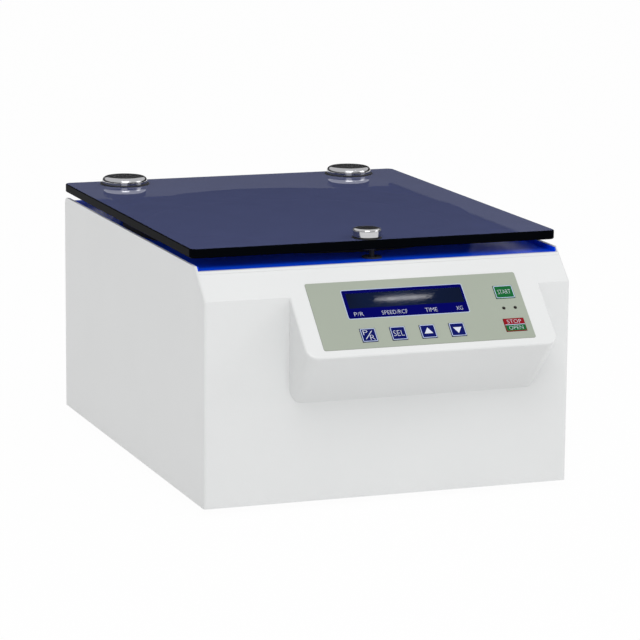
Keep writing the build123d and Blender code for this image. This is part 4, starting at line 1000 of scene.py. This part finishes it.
@dataclass
class RotorMarks:
    """Numbers beside the rotor's tube places, on its rim."""

    places: int = 12
    rim_radius: float = 0.074
    digit_width: float = 0.0015
    height: float = 0.0028
    thickness: float = 0.0003

    def build(self) -> None:
        """Builds the numbers as one piece on the rotor."""
        low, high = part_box("rotor")
        middle = (low + high) / 2
        numbers = []
        for place in range(self.places):
            turn = math.tau * place / self.places
            words = str(place + 1)
            number = Bench.lettering(
                "number", words, (0.0, 0.0, -self.thickness / 2),
                (self.digit_width * len(words), self.height), self.thickness,
            )
            spot = Vector((self.rim_radius * math.cos(turn), self.rim_radius * math.sin(turn), 0))
            number.data.transform(
                Matrix.Translation(Vector((middle.x, middle.y, high.z)) + spot)
                @ Matrix.Rotation(turn + math.pi / 2, 4, "Z")
            )
            numbers.append(number)
        marks = Bench.join("rotor_numbers", numbers)
        Bench.dress(marks, Palette.legend)
        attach(marks, "rotor")
        log.info("rotor: %s rides on rotor", marks.name)


@dataclass
class CrossSlots:
    """Dark cross slots in the heads of the screws at the rear."""

    reach: float = 0.0018
    width: float = 0.0006
    depth: float = 0.0004
    turn: float = 0.4
    panel_head: float = 0.003
    fan_head: float = 0.004

    def build(self) -> None:
        """Builds the slots of the screws in the rear panel and round the fan."""
        low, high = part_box("rear_screws")
        head = self.panel_head
        heights = (low.z + head, (low.z + high.z) / 2, high.z - head)
        self._slots("rear_screw_slots",
                    [(x, high.y, z) for x in (low.x + head, high.x - head) for z in heights])
        low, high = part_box("fan_screws")
        head = self.fan_head
        heights = (low.z + head, high.z - head)
        self._slots("fan_screw_slots",
                    [(x, high.y, z) for x in (low.x + head, high.x - head) for z in heights])

    def _cross(self) -> Piece:
        """Builds one cross at the origin, from a bar and its copy.

        Returns:
            The cross.
        """
        bar = Bench.block("bar", (-self.reach, -self.depth, -self.width / 2),
                          (self.reach, self.depth / 4, self.width / 2))
        bars = Bench.repeat(bar, 2)
        for part, turn in zip(bars, (self.turn, self.turn + math.pi / 2)):
            part.data.transform(Matrix.Rotation(turn, 4, "Y"))
        return Bench.join("cross", bars)

    def _slots(self, name: str, heads: list[Point]) -> None:
        """Puts one cross in each screw head, and joins them.

        Args:
            name: the piece's name.
            heads: the middle of each head's outer face.
        """
        crosses = Bench.repeat(self._cross(), len(heads))
        for cross, head in zip(crosses, heads):
            cross.data.transform(Matrix.Translation(head))
        slots = Bench.join(name, crosses)
        Bench.dress(slots, Palette.plastic)
        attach(slots, "housing")
        log.info("rear: %s rides on housing", slots.name)


@dataclass(frozen=True)
class Softbox:
    """A square soft light that points at a place. Its power is in watts."""

    name: str
    place: Point
    aim: Point
    size: float
    power: float

    def build(self) -> Piece:
        """Adds the light.

        Returns:
            The lamp.
        """
        Bench.clear()
        bpy.ops.object.light_add(type="AREA", location=self.place)
        lamp = bpy.context.object
        lamp.name = self.name
        lamp.data.size = self.size
        lamp.data.energy = self.power
        way = Vector(self.aim) - Vector(self.place)
        lamp.rotation_euler = way.to_track_quat("-Z", "Y").to_euler()
        return lamp


@dataclass
class Studio:
    """Floor, background, lights and camera.

    The glint is a small long lamp whose reflection lies in the display window. Its spot is in
    panel millimetres. The flags are a dark ring that only reflections show.
    """

    azimuth: float = -20.29
    elevation: float = 11.03
    roll: float = 0.48
    lens: float = 175.65
    sensor: float = 36.0
    clip: tuple[float, float] = (0.1, 100.0)
    camera_place: Point = (-1.094177, -2.984463, 0.758476)
    floor_reach: float = 30.0
    floor_grey: float = 0.86
    floor_roughness: float = 0.6
    floor_specular: float = 0.1
    floor_glow: float = 0.975
    world_fill: float = 0.63
    softboxes: tuple[Softbox, ...] = (
        Softbox("key_light", (-0.6, -2.2, 2.6), (0.0, 0.0, 0.15), 1.8, 34.0),
        Softbox("side_light", (2.6, -1.2, 1.4), (0.0, 0.0, 0.12), 1.4, 13.0),
    )
    flag_radius: float = 6.0
    flag_low: float = 0.45
    flag_high: float = 2.3
    flag_gap: float = 26.0
    flag_sides: int = 72
    flag_colour: Colour = (0.01, 0.01, 0.012)
    flag_roughness: float = 0.9
    glint_spot: Point = (-13.5, 16.5, 0.3)
    glint_distance: float = 1.5
    glint_size: tuple[float, float] = (0.005, 0.085)
    glint_power: float = 0.075
    panel: Matrix = field(default_factory=Matrix)

    def build(self) -> None:
        """Builds everything round the object."""
        self._floor()
        self._world()
        for softbox in self.softboxes:
            softbox.build()
        self._camera()
        self._flags()
        self._glint()
        log.info("studio: floor, world, flags, lights and camera stand")

    def _floor(self) -> None:
        """Adds a white floor that looks bright to the camera and keeps a soft shadow."""
        Bench.clear()
        bpy.ops.mesh.primitive_plane_add(size=2 * self.floor_reach)
        floor = bpy.context.object
        floor.name = "floor"
        floor.data.materials.append(shared_material("white_floor", self._paper))

    def _paper(self, tree: NodeTree) -> None:
        """Sets up the floor's white paper, which glows a little for rays that see it directly.

        Args:
            tree: the material's node tree.
        """
        tree.shader.inputs["Base Color"].default_value = (*[self.floor_grey] * 3, 1.0)
        tree.shader.inputs["Roughness"].default_value = self.floor_roughness
        tree.shader.inputs["Specular IOR Level"].default_value = self.floor_specular
        share = tree.add("ShaderNodeMath", {1: self.floor_glow}, {0: tree.seen_directly()})
        share.operation = "MULTIPLY"
        glow = tree.nodes.new("ShaderNodeEmission")
        surface = tree.mixed(share.outputs[0], tree.shader.outputs[0], glow.outputs[0])
        tree.link(surface, tree.nodes["Material Output"].inputs["Surface"])

    def _world(self) -> None:
        """Makes a white background and a soft even fill."""
        world = bpy.data.worlds.new("studio")
        world.use_nodes = True
        bpy.context.scene.world = world
        tree = NodeTree(world.node_tree)
        fill = tree.nodes["Background"]
        fill.inputs["Color"].default_value = (1.0, 1.0, 1.0, 1.0)
        fill.inputs["Strength"].default_value = self.world_fill
        white = tree.nodes.new("ShaderNodeBackground")
        surface = tree.mixed(tree.seen_directly(), fill.outputs[0], white.outputs[0])
        tree.link(surface, tree.nodes["World Output"].inputs["Surface"])
        bpy.context.scene.view_settings.view_transform = "Standard"

    def _flags(self) -> None:
        """Stands a dark ring of card round the scene, open to the camera, for reflections only."""
        Bench.clear()
        bpy.ops.mesh.primitive_cylinder_add(
            vertices=self.flag_sides, radius=self.flag_radius,
            depth=self.flag_high - self.flag_low, end_fill_type="NOTHING",
            location=(0.0, 0.0, (self.flag_high + self.flag_low) / 2),
        )
        ring = bpy.context.object
        ring.name = "dark_flags"
        bpy.ops.object.transform_apply(location=True, rotation=True, scale=True)
        way = Vector(self.camera_place).xy.normalized()
        opening = math.cos(math.radians(self.flag_gap / 2))

        def towards_camera(face: bmesh.types.BMFace) -> bool:
            """Says whether a face of the ring stands between the scene and the camera."""
            return face.calc_center_median().xy.normalized().dot(way) > opening

        with Bench.selected(ring, Pick.FACE, towards_camera):
            bpy.ops.mesh.delete(type="FACE")
        ring.data.materials.append(shared_material("dark_card", self._card))
        ring.visible_camera = False
        ring.visible_diffuse = False
        ring.visible_shadow = False
        ring.visible_transmission = False

    def _card(self, tree: NodeTree) -> None:
        """Sets up the dull dark card of the flags."""
        tree.shader.inputs["Base Color"].default_value = (*self.flag_colour, 1.0)
        tree.shader.inputs["Roughness"].default_value = self.flag_roughness

    def _glint(self) -> None:
        """Adds the small lamp whose reflection lies in the display window, along its length."""
        spot = self.panel @ Vector(self.glint_spot)
        out = (self.panel.to_3x3() @ Vector((0.0, 0.0, 1.0))).normalized()
        to_camera = (Vector(self.camera_place) - spot).normalized()
        mirror = (2 * out.dot(to_camera) * out - to_camera).normalized()
        place = spot + mirror * self.glint_distance
        lamp = Softbox(
            "glint", tuple(place), tuple(spot), self.glint_size[0], self.glint_power
        ).build()
        across = mirror.cross(Vector((1.0, 0.0, 0.0))).normalized()
        turn = Matrix((across, mirror.cross(across), mirror)).transposed().to_4x4()
        lamp.matrix_world = Matrix.Translation(place) @ turn
        lamp.data.shape = "ELLIPSE"
        lamp.data.size_y = self.glint_size[1]

    def _camera(self) -> None:
        """Adds the camera at the photograph's viewpoint."""
        Bench.clear()
        bpy.ops.object.camera_add(location=self.camera_place)
        camera = bpy.context.object
        tilt = Euler((math.radians(90.0 - self.elevation), 0.0, math.radians(self.azimuth)))
        roll = Matrix.Rotation(math.radians(self.roll), 3, "Z")
        camera.rotation_euler = (tilt.to_matrix() @ roll).to_euler()
        camera.data.sensor_width = self.sensor
        camera.data.lens = self.lens
        camera.data.clip_start, camera.data.clip_end = self.clip
        bpy.context.scene.camera = camera


def main() -> None:
    """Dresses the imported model, adds the print and the slots, and builds the studio."""
    logging.basicConfig(level=logging.INFO, format="%(name)s: %(message)s")
    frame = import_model()
    for assembly in ASSEMBLIES:
        assembly.dress(frame["nodes"])
    panel = ControlPanel()
    for part in (panel, RotorMarks(), CrossSlots()):
        part.build()
    Studio(panel=panel.matrix).build()


if __name__ == "__main__":
    main()
